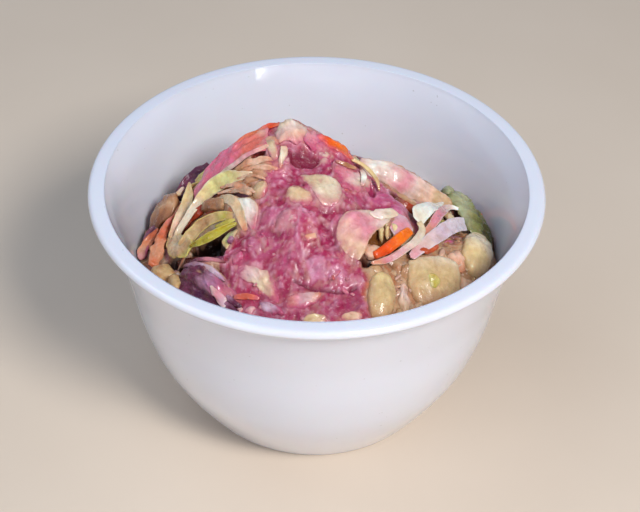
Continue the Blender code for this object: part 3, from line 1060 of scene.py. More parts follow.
def shoulder_folds(slaw):
    """Cream folds behind the yellow-green shred, coated with dressing."""
    slaw.leaf(
        "pale",
        [(-24, 4.4, 0.7), (-18, 3.8, 0.7), (-14, 2, 0.5), (-10, -0.6, 0.3), (-12.6, -3, 0.4),
         (-17, -2.4, 0.6), (-21, 0.6, 0.7)],
        "tan apricot brown apricot", -30, wrinkle=0.4, film=0.1, bed=0.6, streaks=0.2,
    )
    for path, widths in (
        ([(-10.5, 0.5, 0.4), (-14, 1.2, 0.9), (-18, 2.4, 1.1), (-21, 3.6, 1.0)], (0.8, 1.8, 2.2, 1.0)),
        ([(-9.6, -1.6, 0.3), (-13, -0.8, 0.7), (-17, 0.6, 0.9), (-19.6, 1.8, 0.7)], (0.8, 1.6, 1.8, 0.9)),
    ):
        slaw.ribbon(
            "pale", path, widths, "apricot peach apricot tan", wrinkle=0.3, ragged=0.25, film=0.1,
            bed=0.6, cup=-0.3,
        )


def yellow_green_shred(slaw):
    """The yellow-green shred that runs down from the shoulder and turns cream."""
    slaw.ribbon(
        "green",
        [(-15.5, -1.4, 0.8), (-19, 0.4, 1.3), (-23, 3, 1.6), (-26.5, 4, 1.8), (-29, 3, 1.9),
         (-31.5, 0.4, 2), (-33.6, -3, 1.8), (-35.5, -6, 1.0)],
        (1.4, 2.4, 4.2, 4.4, 3.2, 2.2, 1.8, 1.4), "peach butter lemon lemon butter ivory ivory cream",
        edge="ivory", cup=0.2, ruffle=0.5, wrinkle=0.2, streaks=0.16, facing=0.7,
    )


def pointed_shred(slaw):
    """The pale shred that stands to a point, and the lobe that it and the yellow-green one run into."""
    slaw.ribbon(
        "pale",
        [(-32.8, 12, 2.2), (-32.8, 7, 2.2), (-33.5, 3.4, 2.2), (-34.8, -1, 1.8), (-36.2, -5, 1.0)],
        (0.4, 2.6, 3.2, 3.0, 2.6), "beige butter cream peach tan", edge="butter", cup=0.18,
        ends=(0.0, 0.6), jag=0, wrinkle=0.2, streaks=0.2,
    )
    slaw.leaf(
        "pale",
        [(-37.5, -3, 0.7), (-38, -5.5, 0.6), (-36.8, -9, 0.6), (-34, -12.8, 0.5), (-31.8, -14, 0.6),
         (-30.2, -11.5, 1.0), (-32.4, -7.5, 1.4), (-35, -4.2, 1.3)],
        "cream beige cream tan olive_lime", 300, edge="straw", bulge=0.5, wrinkle=0.3, streaks=0.25,
    )


def grey_band(slaw):
    """The grey-cream band that joins the lobe lower down, and the bright folded edge below."""
    slaw.ribbon(
        "pale",
        [(-19.6, -10, 0.8), (-22.5, -9.5, 1.5), (-25.5, -8.8, 1.8), (-28.5, -8.2, 1.8), (-31.2, -9, 1.6),
         (-33.6, -10, 1.2)],
        (1.6, 2.4, 2.8, 3.2, 3.2, 2.6), "tan olive_lime sand dun sand sand tan", edge="straw", cup=0.2,
        wrinkle=0.22, streaks=0.24,
    )
    slaw.ribbon(
        "green",
        [(-19.4, -11.8, 1.2), (-22.5, -13.2, 1.7), (-25.5, -14, 1.8), (-28.5, -13.6, 1.6),
         (-31, -12.2, 1.0)],
        (0.6, 1.9, 2.4, 2.0, 0.6), "olive_lime lime lime lime olive_lime", thick=0.5, edge="straw",
        cup=0.35, ruffle=0.9, wrinkle=0.24, streaks=0.2,
    )
    slaw.ribbon(
        "green", [(-18.8, -10.6, 1.0), (-22, -11.4, 1.5), (-25.4, -11.6, 1.5)], (0.5, 1.2, 0.6),
        "straw olive_lime olive_lime", thick=0.5,
    )


def left_gap(slaw):
    """A carrot strand in the gap above the band, its colour darkened to deep red as painted shade, and a
    brown stub.
    """
    # A carrot's colour darkened to deep red as painted shade in the gap.
    slaw.ribbon(
        "carrot", [(-34, -2.5, -0.2), (-32, 0, 0.1), (-29, 0.4, 0.2), (-26.6, 0.8, -0.2)],
        (1.2, 2.2, 2.2, 1.4), "red rust red", thick=1.2,
    )
    slaw.ribbon(
        "pale", [(-28.6, 0.2, 0.2), (-26, -2, 0.6), (-22.8, -5, 0.5)], (2.6, 3.4, 3.0),
        "umber brown brown tan", thick=2.0, boxy=3, ends=(0.8, 0.8), wrinkle=0.35,
    )


def tan_shreds(slaw):
    """Thin tan shreds over the shoulder."""
    for path, widths in (
        ([(-24.5, 2.2, 1.2), (-20.5, -1, 1.5), (-16, -5.4, 1.0)], (0.6, 1.3, 1.0)),
        ([(-25, 0.6, 1.2), (-20.5, -2.6, 1.5), (-16.2, -6.4, 1.0)], (0.5, 1.2, 1.0)),
        ([(-22, -1.8, 1.2), (-18.5, -4.2, 1.3), (-15, -6.4, 0.8)], (0.6, 1.0, 0.6)),
        ([(-20, 0.8, 1.0), (-16, -1.6, 1.1), (-12.6, -4, 0.7)], (0.5, 0.9, 0.5)),
        ([(-25.4, -0.6, 0.9), (-23, -3.2, 1.3), (-20.6, -4.6, 1.1)], (0.5, 1.0, 0.6)),
    ):
        slaw.ribbon(
            "pale", path, widths, "apricot peach apricot peach", thick=0.9, wrinkle=0.3, ragged=0.3,
            film=0.3,
        )
    slaw.ribbon(
        "pale", [(-24, -2.4, 1.3), (-21, -6.2, 1.8), (-19, -10, 1.7), (-17.2, -14.4, 0.4)],
        (1.4, 2.6, 2.6, 1.2), "beige cream beige apricot", edge="ivory", cup=0.2, film=0.2, wrinkle=0.26,
        bed=0.4,
    )


def whitish_piece(slaw):
    """The whitish piece where the dressing begins."""
    slaw.leaf(
        "pale",
        [(-20.4, -5.4, 1.6), (-16.4, -7.4, 1.5), (-14.6, -9.2, 1.1), (-14.2, -12, 0.6),
         (-15.2, -14.6, 0.3), (-16.6, -13.6, 1.0), (-18.3, -10, 1.7)],
        "ivory white blush rose", 300, edge="ivory", film=0.2, bed=0.7, wrinkle=0.2,
    )


def left_carrots(slaw):
    """Two carrot strips and a thin violet leaf at the far left, against the rim."""
    slaw.ribbon(
        "carrot",
        [(-33, 9.5, 0.4), (-35, 6, 0.9), (-37.5, 1.5, 1.3), (-39.4, -2.4, 1.3), (-40.2, -6, 1.0),
         (-41, -9.6, 0.3)],
        (1.0, 1.6, 2.1, 2.6, 3.9, 2.6), "rust carrot coral carrot apricot carrot", thick=1.3, boxy=3.4,
        edge="apricot", facing=0.9, wrinkle=0.45, ragged=0.35, streaks=0.35, jag=0.9, film=0.4,
    )
    slaw.ribbon(
        "carrot", [(-39.6, 2, 0.5), (-41.8, 0.4, 0.8), (-43.8, -1.4, 0.6), (-44.6, -4.4, 0.1)],
        (1.2, 2.2, 2.8, 1.8), "rust carrot apricot rose", thick=1.2, boxy=3.4, wrinkle=0.45, ragged=0.35,
        streaks=0.35, jag=0.9, film=0.4,
    )
    slaw.ribbon(
        "purple", [(-40.5, 5, 0.2), (-42.4, 3.4, 0.4), (-44, 1.6, 0)], (1.4, 2.4, 1.6),
        "violet plum lilac", wrinkle=0.3,
    )


def folded_purple_leaf(slaw):
    """A brown-pink strand below the dark hollow, then the folded purple leaf."""
    slaw.ribbon(
        "purple", [(-34.5, -10, -3.4), (-30.5, -14.5, -2.8), (-26, -18.4, -2.0), (-22, -19.5, -1.2)],
        (2.0, 3.0, 2.8, 2.0), "dusk dusk plum", thick=1.0, wrinkle=0.3,
    )
    slaw.leaf(
        "purple",
        [(-32.8, -16.8, -0.4), (-29.2, -19.8, 0.5), (-25, -23.6, 0.7), (-21, -26.8, 0.3),
         (-18.2, -28.6, -0.4), (-21.6, -30.4, 0), (-25, -28.4, 0.7), (-28, -26, 0.8), (-31.4, -22.6, 0.5),
         (-33.8, -19.4, 0)],
        "violet plum plum lilac magenta rose", 318, edge="plum", bulge=1.0, thick=0.9, wrinkle=0.5,
        streaks=0.25, bed=0.2, ragged=0.3,
    )
    slaw.leaf(
        "purple",
        [(-34.0, -18.8, -0.2), (-31.4, -22.2, 0.3), (-28, -25.6, 0.5), (-25, -28.2, 0.4),
         (-21.8, -30.2, -0.2), (-24, -31.6, -0.8), (-28.4, -30, -0.8), (-32, -26.8, -0.8),
         (-34.8, -22.6, -0.6)],
        "violet plum violet plum", 318, edge="violet", bulge=0.3, thick=0.8, wrinkle=0.4, streaks=0.3,
    )
    slaw.ribbon(
        "purple", [(-32.4, -17.4, 0.2), (-28.8, -20.4, 0.9), (-25.2, -23.2, 1.0), (-21.6, -25.8, 0.5)],
        (0.8, 1.4, 1.6, 0.8), "plum lilac lavender lilac", thick=0.8, cup=-0.35, wrinkle=0.24,
        streaks=0.3, ruffle=0.4, ragged=0.14, film=0.2, bed=0.4,
    )
    slaw.ribbon(
        "pale", [(-32.2, -16.2, -0.8), (-28.6, -18.2, 0.2), (-25, -20.2, 0.6), (-22, -21.4, 0.4)],
        (0.6, 1.0, 1.1, 0.6), "dusk plum rose dusk", thick=0.7, ragged=0.2, bed=0.4,
    )


def left_chunks(slaw):
    """Two pale chunks below the carrots."""
    for place, radii, yaw in (
        ((-38, -14.6, -0.6), (3.7, 2.9, 2.9), -50),
        ((-34.3, -20.6, -1.0), (1.7, 3.0, 2.3), 15),
    ):
        slaw.chunk("chunks", place, radii, "dun sand dun", yaw=yaw, rough=0.4, cuts=3, bed=0.8)


def bits_by_hollow(slaw):
    """Small bits to the right of the hollow."""
    slaw.leaf(
        "green",
        [(-23.4, -14.8, 0.2), (-21.4, -13.2, 0.6), (-19.2, -12.6, 0.6), (-20.4, -15.6, 0.4),
         (-21.8, -17.8, 0)],
        "straw sage beige", 40, edge="cream", wrinkle=0.3, bed=0.6,
    )
    slaw.ribbon("purple", [(-20.4, -14.8, 0.9), (-21.4, -17, 0.8)], (1.2, 1.4), "lilac plum")


def front_left_rim(slaw):
    """The pink tip, orange crumb and lilac fibres along the front rim."""
    slaw.leaf(
        "pale",
        [(-25.6, -26.8, 2.0), (-23.3, -28.2, 1.8), (-21, -30, 1.1), (-21.6, -31.6, 0.5),
         (-24.6, -29.4, 1.4)],
        "blush rose lavender", 315, edge="blush", wrinkle=0.2,
    )
    for path in (
        [(-22.6, -29.6, 0.6), (-20.4, -31.6, 0.7), (-18.2, -33.2, 0.2)],
        [(-21.6, -28.6, 0.4), (-19.6, -30.6, 0.6), (-17.4, -32.2, 0.2)],
        [(-23.4, -31, 0.3), (-21, -32.8, 0.4), (-19, -34.2, 0)],
    ):
        slaw.ribbon("purple", path, (1.0, 1.5, 0.9), "lilac plum violet", wrinkle=0.3)
    slaw.ribbon(
        "carrot", [(-19.4, -29.5, 0.5), (-16.5, -30, 0.9), (-13.4, -30.8, 0.5)], (1.0, 1.8, 0.8),
        "coral carrot coral", thick=0.7, film=0.3, bed=0.8, ragged=0.2,
    )
    for x, y, size in ((-18.2, -32.4, 1.2), (-15.6, -33.0, 1.6), (-12.8, -32.8, 1.0)):
        slaw.leaf(
            "pale",
            [(x - size, y, 0.1), (x, y + size * 0.7, 0.3), (x + size, y + size * 0.2, 0.2),
             (x + size * 0.2, y - size, 0.1)],
            "rose blush", bulge=0.3, film=0.3, bed=0.8, spacing=0.3,
        )
    slaw.leaf(
        "purple",
        [(-13.8, -30.4, 0.2), (-11.4, -32, 0.6), (-8.8, -34, 0.5), (-6.8, -35.6, 0.1), (-9.8, -36, 0.1),
         (-12.8, -34, 0.2)],
        "lilac lavender lilac", 320, bulge=0.4, wrinkle=0.5, streaks=0.3, ragged=0.5, film=0.35, bed=1,
    )


def peak(slaw):
    """The peak: peach leaves, an orange streak, a carrot end and small leaves."""
    slaw.leaf(
        "pale",
        [(-10.2, 10.8, 0.4), (-7.4, 12.2, 0.9), (-4.4, 11.4, 0.9), (-2.6, 9.6, 0.8), (-3.2, 6.8, 0.6),
         (-5.4, 5.0, 0.4), (-7.6, 5.6, 0.5), (-9.4, 4.8, 0.3), (-10.8, 7.5, 0.3)],
        "peach ivory blush peach rose", 290, thick=0.9, bulge=0.35, wrinkle=0.45, bed=0.5, ragged=0.5,
        streaks=0.2,
    )
    slaw.leaf(
        "pale",
        [(-4, 11, 0.5), (-1.6, 10.4, 0.6), (0.8, 8.6, 0.5), (1.2, 6.2, 0.4), (-1.6, 4.6, 0.4),
         (-3.8, 6.4, 0.9)],
        "blush rose mauve", 320, bulge=0.4, wrinkle=0.45, film=0.25, bed=1, ragged=0.5,
    )
    slaw.ribbon(
        "carrot", [(-16, 11.6, 0.8), (-13, 12, 0.9), (-10.4, 11.2, 0.5), (-8.6, 10.6, 0.1)],
        (0.8, 1.4, 1.3, 0.8), "apricot coral orange apricot", thick=0.7, film=0.2, bed=0.6, wrinkle=0.3,
        ragged=0.35,
    )
    slaw.leaf(
        "pale", [(-14, 9, 0.5), (-10.4, 7.4, 0.5), (-9.6, 4.4, 0.5), (-13.4, 5.2, 0.6)], "peach apricot",
        bulge=0.5, wrinkle=0.3, bed=0.5,
    )
    slaw.leaf(
        "pale",
        [(-13.4, 7, 1.0), (-11.2, 6.2, 1.1), (-10.1, 3, 1.2), (-9.5, 0.6, 0.8), (-10.8, 0, 0.8),
         (-12.4, 2.6, 1.1)],
        "beige cream cream", 285, edge="ivory", wrinkle=0.2, bed=0.8,
    )
    slaw.leaf(
        "pale", [(-9.2, 3.6, 1.2), (-7.5, 3.2, 1.2), (-7.4, 1.6, 1.1), (-9, -1.8, 0.6), (-9.7, -1, 0.8)],
        "peach ivory apricot", 260, thick=0.45, bed=0.6, spacing=0.3,
    )
    # The end of a carrot stick, coated at its upper end.
    slaw.leaf(
        "carrot",
        [(-1.4, 9.2, 0.3), (2, 9.8, 0.8), (5, 9.8, 1.1), (8.2, 9.2, 0.9), (9.6, 7.6, 0.4), (7, 6.2, 0.8),
         (4.4, 6, 0.9), (1.2, 7, 0.6)],
        "pink coral orange bright_orange bright_orange orange", 350, wrinkle=0.24, bed=0.7, film=0.05,
        streaks=0.3, thick=0.8, ragged=0.35,
    )
    slaw.leaf(
        "pale", [(0, 5.4, 0.1), (2, 6, 0.4), (3.4, 4.6, 0.4), (2.4, 2.8, 0.1), (0.4, 3.4, 0.1)],
        "blush cream", bulge=0.4, film=0.2, bed=1, spacing=0.3,
    )


def leaves_in_dressing(slaw):
    """Leaves lying in the dressing, in the middle of the heap and at its front."""
    for outline, tones, grain, film, extra in (
        # The bright cream leaf, and the tan one beside it.
        ([(-4.4, -1.8, 0.6), (-0.5, -1.8, 1.0), (3, -2.8, 1.1), (5.6, -4.2, 1.1), (6.5, -6.4, 1.1),
          (5.6, -9.8, 0.9), (3.5, -11.6, 0.6), (1.4, -11.4, 0.9), (0.3, -9.8, 1.2), (-1.6, -6.6, 1.1)],
         "cream cream ivory cream", 300, 0.0, {"edge": "ivory", "wrinkle": 0.16, "bed": 0.7}),
        ([(-8, -9, 0), (-6.6, -6.4, 0.4), (-4.4, -5.8, 0.6), (-1.8, -7.6, 0.5), (-0.8, -9.8, 0.3),
          (-1.8, -11.6, 0), (-5, -12, 0)],
         "cream beige peach", 330, 0.1, {"wrinkle": 0.3, "bed": 0.8}),
        # The cream oval on the left.
        ([(-16.2, -4, 0.2), (-14.4, -2.8, 0.4), (-12.4, -4, 0.4), (-11.7, -6, 0.3), (-13, -8, 0.1),
          (-15.4, -7, 0.2)],
         "beige cream", 0, 0.1, {"thick": 1.0, "bulge": 0.6, "wrinkle": 0.3}),
        # The cream leaf with the pink middle.
        ([(4, 0, 0.6), (6.6, 3.8, 0.8), (10, 4.6, 1.1), (13, 3, 1.2), (13.2, -2, 0.8), (9.5, -4.2, 0.7),
          (6, -4.7, 0.6)],
         "apricot rose rose blush ivory ivory", -30, 0.12,
         {"wrinkle": 0.35, "edge": "cream", "ragged": 0.4}),
        # The long pinkish one at the front left.
        ([(-18.8, -22.6, 0), (-14.5, -23.2, 0.5), (-11.3, -25, 0.6), (-9.2, -28.5, 0.5), (-8.2, -32.2, 0),
          (-9.8, -32.8, 0), (-12.2, -29.8, 0.3), (-15.2, -26.4, 0.3), (-18.6, -25, 0)],
         "rose blush cream peach apricot", 310, 0.2, {"wrinkle": 0.35, "ragged": 0.45}),
        # Patches below the crease and along the rim.
        ([(-6.5, -31.2, 0), (-2, -30.4, 0.3), (2, -31, 0.2), (1, -33.4, 0), (-3, -34.6, 0),
          (-7, -34.2, 0)],
         "apricot rose blush apricot", 0, 0.35, {"wrinkle": 0.35, "ragged": 0.45}),
        ([(-3.4, -37, 0), (-0.5, -35.8, 0.3), (2.8, -36.4, 0.3), (3.4, -38, 0), (-2.4, -38.4, 0)],
         "butter cream", 0, 0.15, {"wrinkle": 0.3}),
        ([(6, -36, 0), (8.6, -35.2, 0.3), (11.4, -35.2, 0.3), (11.6, -36.8, 0), (7, -37.4, 0)],
         "beige peach", 0, 0.2, {"wrinkle": 0.3}),
        # Small pieces in the middle.
        ([(-9.6, -13, 0), (-5, -13.6, 0.3), (-4.2, -16, 0.2), (-6.5, -17.2, 0), (-9.4, -15.4, 0)],
         "rose blush rose", 20, 0.25, {"wrinkle": 0.4, "bulge": 0.6, "ragged": 0.45}),
        ([(-3.2, -19.5, 0), (0, -18.2, 0.3), (0.6, -19.6, 0.2), (-2, -20.8, 0)], "apricot peach", 0, 0.15,
         {"spacing": 0.3}),
        ([(-20.6, -20, 0), (-18, -19.6, 0.3), (-17.4, -21.6, 0.2), (-20, -22.4, 0)], "rose mauve", 0, 0.4,
         {"spacing": 0.3}),
    ):
        slaw.leaf("pale", outline, tones, grain, film=film, **{"bed": 1, **extra})


def curls_by_peak(slaw):
    """A thin tan curl, a white one and a thin yellow strand, right of the peak."""
    for path, widths, tones in (
        ([(4.6, 1.6, 1.2), (7, 1.4, 1.7), (9.8, 2.4, 1.9)], (0.7, 1.3, 0.7), "tan brown tan"),
        ([(11, 3.6, 1.6), (11.6, 0.8, 1.8), (11.2, -2.2, 1.4)], (0.8, 1.6, 1.2), "ivory white ivory"),
    ):
        slaw.ribbon("pale", path, widths, tones, bed=0.5)
    slaw.ribbon(
        "green", [(8.4, 5.8, 1.2), (11, 5.8, 1.9), (13.4, 3.4, 2.1), (15, 0.6, 1.9), (15.6, -1.6, 1.0)],
        (0.6, 1.0, 1.1, 1.0, 0.5), "butter butter tan", thick=0.7, boxy=3,
    )


def pink_leaf(slaw):
    """The big pink leaf that folds over the brown hollow on the right."""
    slaw.leaf(
        "pale",
        [(7.3, -12.4, 0.8), (5.5, -14, 0.6), (4.9, -17, 0.5), (5.5, -20, 0.5), (8, -22.8, 0.4),
         (10.6, -23.6, 0.5), (11.9, -21.6, 1.1), (13.1, -18, 1.9), (15.1, -14.2, 2.2), (18, -11.4, 2.4),
         (19.2, -9.2, 2.1), (15, -8.8, 1.7), (11, -9.8, 1.2)],
        "beige peach rose rose blush ivory", 52, edge="cream", bulge=0.4, wrinkle=0.16, bed=0.5,
        streaks=0.10, ragged=0.2,
    )
    slaw.leaf(
        "pale",
        [(12.6, -10.6, 1.8), (15, -8.8, 2.1), (18, -7.6, 2.1), (20.8, -8.4, 2.0), (18.8, -10.4, 2.6),
         (15.4, -11.8, 2.5)],
        "blush blush ivory peach", 10, edge="ivory", wrinkle=0.16, ragged=0.3, thick=0.45,
    )
    for x, y, lift in ((17.4, -11.8, 0.9), (19.4, -12.6, 0.7), (16, -13.6, 0.5)):
        slaw.leaf(
            "pale",
            [(x - 1.0, y + 1.6, lift + 1), (x + 0.7, y + 1.2, lift + 0.8), (x + 0.2, y - 3, lift - 1)],
            "cream butter tan", 270, spacing=0.3,
        )
    slaw.chunk(
        "pale", (13.8, -19.6, -0.4), (2.6, 2.4, 1.6), "apricot peach", rough=0.7, film=0.1, bed=0.5,
    )


def right_strip(slaw):
    """The broad white and pink strip on the right shoulder, with a carrot shred in the gap below it, its
    colour darkened as painted shade.
    """
    slaw.ribbon(
        "pale",
        [(10.5, 7.6, 0.4), (14, 7.6, 1.2), (18.5, 7.2, 1.8), (23.5, 7.2, 2.1), (28, 7.4, 1.9),
         (32.4, 8.2, 1.0), (34.8, 8.4, 0.2)],
        (3.6, 5.2, 6.2, 6.8, 6.0, 4.6, 2.8), "blush white blush rose blush peach beige tan", thick=1.1,
        edge="blush", cup=-0.3, ruffle=0.5, ends=(0.5, 0.8), columns=23, bed=0.4, wrinkle=0.3,
        ragged=0.12, film=0.05,
    )
    # A carrot's colour darkened as painted shade in the gap below the strip.
    slaw.ribbon(
        "carrot", [(19, 1, -1.8), (23, 0.4, -1.8), (27, 1, -1.6)], (2.2, 2.8, 1.8), "dusk rust dusk",
        thick=1.2,
    )


def sage_leaf(slaw):
    """The sage leaf against the wall, with its olive side, whose dark tones are partly painted shade, and
    lobe.
    """
    slaw.leaf(
        "green",
        [(33.6, 13.5, 1.2), (36, 16, 1.8), (39.4, 14.4, 2.0), (42, 9, 1.9), (42.8, 3.4, 1.3),
         (41.4, -1.4, 0.5), (38.6, -0.6, 0.9), (37, 4, 1.4), (35, 8, 1.6), (33.2, 10.5, 1.4)],
        "moss sage sage moss olive", 0, thick=1.4, boxy=3, bulge=0.9, wrinkle=0.45, streaks=0.3,
        edge="moss",
    )
    # The lower leaf's dark olive tones are partly its own colour and partly painted shade on its lower
    # side.
    slaw.leaf(
        "green",
        [(39.6, 14.6, 1.0), (43.4, 10.6, 0.9), (45.2, 4, 0.3), (45, -2.4, -0.6), (43.2, -6, -1.2),
         (41, -3.4, -0.4), (40.8, 5, 0.8)],
        "moss olive olive", 300, thick=1.0, boxy=3, bulge=0.4, wrinkle=0.4, streaks=0.3,
    )
    slaw.leaf(
        "green",
        [(31.4, 12.4, 1.6), (32.6, 15.2, 2.0), (35.2, 16, 2.3), (35.6, 13.2, 2.4), (33.4, 10.6, 2.0)],
        "olive sage moss", 20, thick=1.2, boxy=3, wrinkle=0.4, bulge=0.5,
    )


def white_triangle(slaw):
    """The white triangle, the curled strip beside it and its tan spot."""
    slaw.ribbon(
        "pale",
        [(36.6, 6.8, 1.8), (33.6, 5.4, 2.1), (30.8, -2.4, 2.0), (28.8, -7.4, 1.6), (26.4, -10.4, 0.9)],
        (0.8, 1.8, 2.6, 2.4, 1.2), "white blush rose rose apricot", edge="blush", cup=0.35, wrinkle=0.2,
    )
    slaw.leaf(
        "pale",
        [(23.6, -4.4, 1.6), (27.4, 0, 2.2), (32.4, 6.2, 2.8), (30.6, -1.6, 2.8), (28.4, -5.6, 2.5),
         (26.4, -8.6, 1.9), (24.2, -7.4, 1.7)],
        "ivory white white ivory", 60, thick=0.4, edge="white", wrinkle=0.12, ragged=0.12, bulge=0.15,
    )
    slaw.leaf(
        "pale", [(32, 3.6, 1.7), (34.6, 3, 1.8), (35.6, 0, 1.5), (33.6, -1.4, 1.6)], "butter cream", 270,
        bulge=0.3,
    )


def carrot_and_strips(slaw):
    """The bright carrot stick, the lavender and pale strips that cross it, and a rust-coloured shred."""
    slaw.leaf(
        "purple",
        [(17.4, -11, 1.2), (19.8, -8, 1.4), (22.4, -8, 1.4), (24.2, -10.6, 1.3), (22.6, -13.6, 1.2),
         (20.4, -15.6, 1.0)],
        "lavender rose lavender", 300, thick=0.5, edge="pearl", wrinkle=0.12, ragged=0.12,
    )
    slaw.ribbon(
        "purple",
        [(23.4, -18.6, 0.6), (27.2, -14, 1.5), (31, -9.2, 2.1), (34.6, -4, 2.3), (37.6, 0.2, 1.9)],
        (2.0, 3.4, 4.0, 4.0, 3.4), "rose blush lavender pearl pearl", thick=0.6, edge="pearl", cup=0.12,
        ruffle=0.4, ends=(0.4, 0.2), ragged=0.07, wrinkle=0.1,
    )
    slaw.ribbon(
        "pale",
        [(25.4, -7.4, 1.4), (26.2, -10, 1.9), (24.6, -14.6, 1.9), (21, -18.4, 1.4), (17.6, -21, 1.0),
         (13.4, -23.6, 0.4)],
        (1.2, 2.0, 2.0, 1.8, 1.8, 0.8), "cream ivory blush rose apricot", thick=0.8, edge="ivory",
        cup=0.15, wrinkle=0.2,
    )
    slaw.ribbon(
        "carrot", [(14, -22.2, 1.4), (17, -19.6, 2.0), (20.2, -16.2, 2.3), (23.2, -12, 2.2)],
        (1.9, 2.8, 3.0, 2.3), "orange orange bright_orange bright_orange", thick=1.6, boxy=3.4,
        ends=(0.5, 0.9), wrinkle=0.14, ragged=0.06, streaks=0.2, facing=0.9, jag=0.2,
    )
    slaw.leaf(
        "carrot", [(24.2, -17, 0.4), (29.6, -10.8, 0.9), (30.6, -13.4, 0.9), (27.8, -16.4, 0.7)],
        "rust carrot", 40, thick=1.0,
    )


def right_front(slaw):
    """Pale chunks in a tan dressing, right of the front."""
    for outline, tones, grain, thick, boxy, wrinkle in (
        # A long slab, a square block and a round slice.
        ([(13.4, -25.5, -2), (15, -23.2, -2), (17, -22.6, -2), (18.4, -24, -2), (19, -27, -2),
          (18.8, -32, -2), (16.4, -36, -2.4), (13.4, -35, -2.2), (12.5, -31, -2)],
         "sand butter sand sand dun", 270, 5.0, 4.5, 0.15),
        ([(22, -18.6, -2), (26, -16.4, -2), (31, -14.2, -2), (34.6, -14.4, -2.1), (35, -18, -2.3),
          (34.6, -23.4, -2.5), (30.6, -25.6, -2.6), (26.6, -27.6, -2.5), (23.6, -27.4, -2.3),
          (22.4, -23, -2)],
         "ivory cream sand sand dun", 280, 5.0, 8.0, 0.12),
        ([(39.4, 0.6, -1.6), (41.8, 1.2, -1.6), (43.6, -2, -1.8), (44, -7, -2), (42.6, -12, -2.2),
          (39.8, -15, -2.2), (37, -14.4, -2), (35.8, -10.4, -1.8), (36.4, -4.6, -1.6)],
         "butter ivory butter butter", 250, 5.6, 5.0, 0.10),
        # The pinkish and tan pieces between them.
        ([(19.8, -28, -1.4), (20.4, -24.4, -1.2), (22, -23.4, -1.2), (22.8, -27, -1.4),
          (22.4, -32.4, -1.8), (20.6, -33, -1.8)],
         "peach blush beige", 270, 3.0, 2.8, 0.5),
        ([(20, -22, -1.6), (21.6, -18.8, -1.4), (24, -19, -1.4), (23.4, -23, -1.6)], "brown tan", 270,
         3.0, 2.6, 0.5),
        ([(32, -12.4, -1.4), (35, -9.4, -1.2), (37.2, -12, -1.4), (36.6, -15.8, -1.8), (33.8, -16, -1.6)],
         "apricot peach apricot", 290, 3.4, 2.6, 0.5),
        ([(35.4, -17, -2), (38.4, -16.4, -2), (39.4, -19.4, -2.4), (36.2, -22.4, -2.6),
          (34.6, -20, -2.2)],
         "tan peach", 290, 3.4, 2.6, 0.5),
        ([(29.4, -27.6, -2.4), (33.4, -24.8, -2.4), (36, -24, -2.8), (33.6, -29, -3.2),
          (30.2, -31, -3.2)],
         "dun sand", 290, 3.6, 2.6, 0.5),
        ([(20.4, -34.4, -2.4), (24.4, -30, -2.2), (28.6, -30, -2.6), (28, -34.6, -3.4), (23, -37, -3.2)],
         "dun sand", 290, 3.8, 2.6, 0.5),
    ):
        slaw.leaf(
            "chunks", outline, tones, grain, thick=thick, boxy=boxy, wrinkle=wrinkle, bulge=0.5, bed=0.6,
            streaks=0.14, ragged=0.4, spacing=0.5, film=0.1,
        )
    slaw.leaf(
        "chunks",
        [(27.6, -22.4, 0.9), (29.4, -21.6, 1.0), (30.8, -22.6, 0.9), (29.8, -24.8, 0.6),
         (28, -24.8, 0.6)],
        "straw lime straw", bulge=0.2, thick=0.6, film=0.45,
    )


def far_side(slaw):
    """Larger leaves on the heap's far side."""
    for kind, path, widths, tones in (
        ("pale", [(-19, 21, -0.4), (-12, 26, -0.2), (-4, 28, -0.6)], (3.0, 5.5, 3.0),
         "blush ivory rose cream"),
        ("pale", [(-31, 22, -0.6), (-27, 28, -0.4), (-20, 33, -0.8)], (2.4, 4.6, 2.8),
         "cream beige blush"),
        ("pale", [(3, 35, -0.8), (10, 36, -0.6), (18, 33, -1.0)], (2.4, 4.4, 2.6), "ivory cream rose"),
        ("pale", [(16, 22, -1.2), (23, 22, -1.0), (29, 18, -1.4)], (2.6, 4.6, 2.6), "cream peach blush"),
        ("purple", [(4, 23, -0.8), (11, 27, -0.8), (18, 27, -1.2)], (2.4, 5.0, 3.0), "magenta plum lilac"),
        ("purple", [(-16, 34, -0.8), (-10, 39, -0.6), (-2, 40, -1.0)], (2.0, 4.2, 2.4),
         "plum violet mauve"),
        ("green", [(-24, 17, -0.4), (-28, 13, -0.4), (-34, 14, -0.8)], (1.6, 3.4, 2.0),
         "lemon straw cream"),
        ("green", [(20, 30, -1.2), (27, 27, -1.0), (33, 22, -1.4)], (1.8, 3.6, 2.0), "lime straw lemon"),
        ("carrot", [(-9, 33, -0.6), (-3, 32, -0.4), (4, 30, -0.8)], (2.0, 2.6, 2.0),
         "carrot orange coral"),
    ):
        slaw.ribbon(
            kind, path, widths, tones, facing=0.0, cup=0.25, ruffle=0.8, wrinkle=0.3, film=0.25, bed=0.3,
        )


# ---------------------------------------------------------------- loose shreds under and behind


# Kinds of loose shred: kind, share of them, narrowest and widest, thickness, tones.
LOOSE = (
    ("pale", 0.46, (1.6, 3.6), 0.7, "beige cream ivory tan blush"),
    ("green", 0.16, (1.8, 3.4), 0.6, "straw lime butter sage"),
    ("purple", 0.18, (1.4, 3.4), 0.6, "plum violet mauve lilac"),
    ("carrot", 0.20, (1.4, 2.4), 1.1, "carrot rust apricot"),
)
LOOSE_COUNT = 230
# Round this place, (x, y, radius), none is strewn.
LOOSE_CLEAR = (42.0, 6.0, 9.0)
# Where the points of a loose shred's path lie, as shares of its length from its middle.
LOOSE_STEPS = np.array([-0.5, -0.17, 0.17, 0.5])


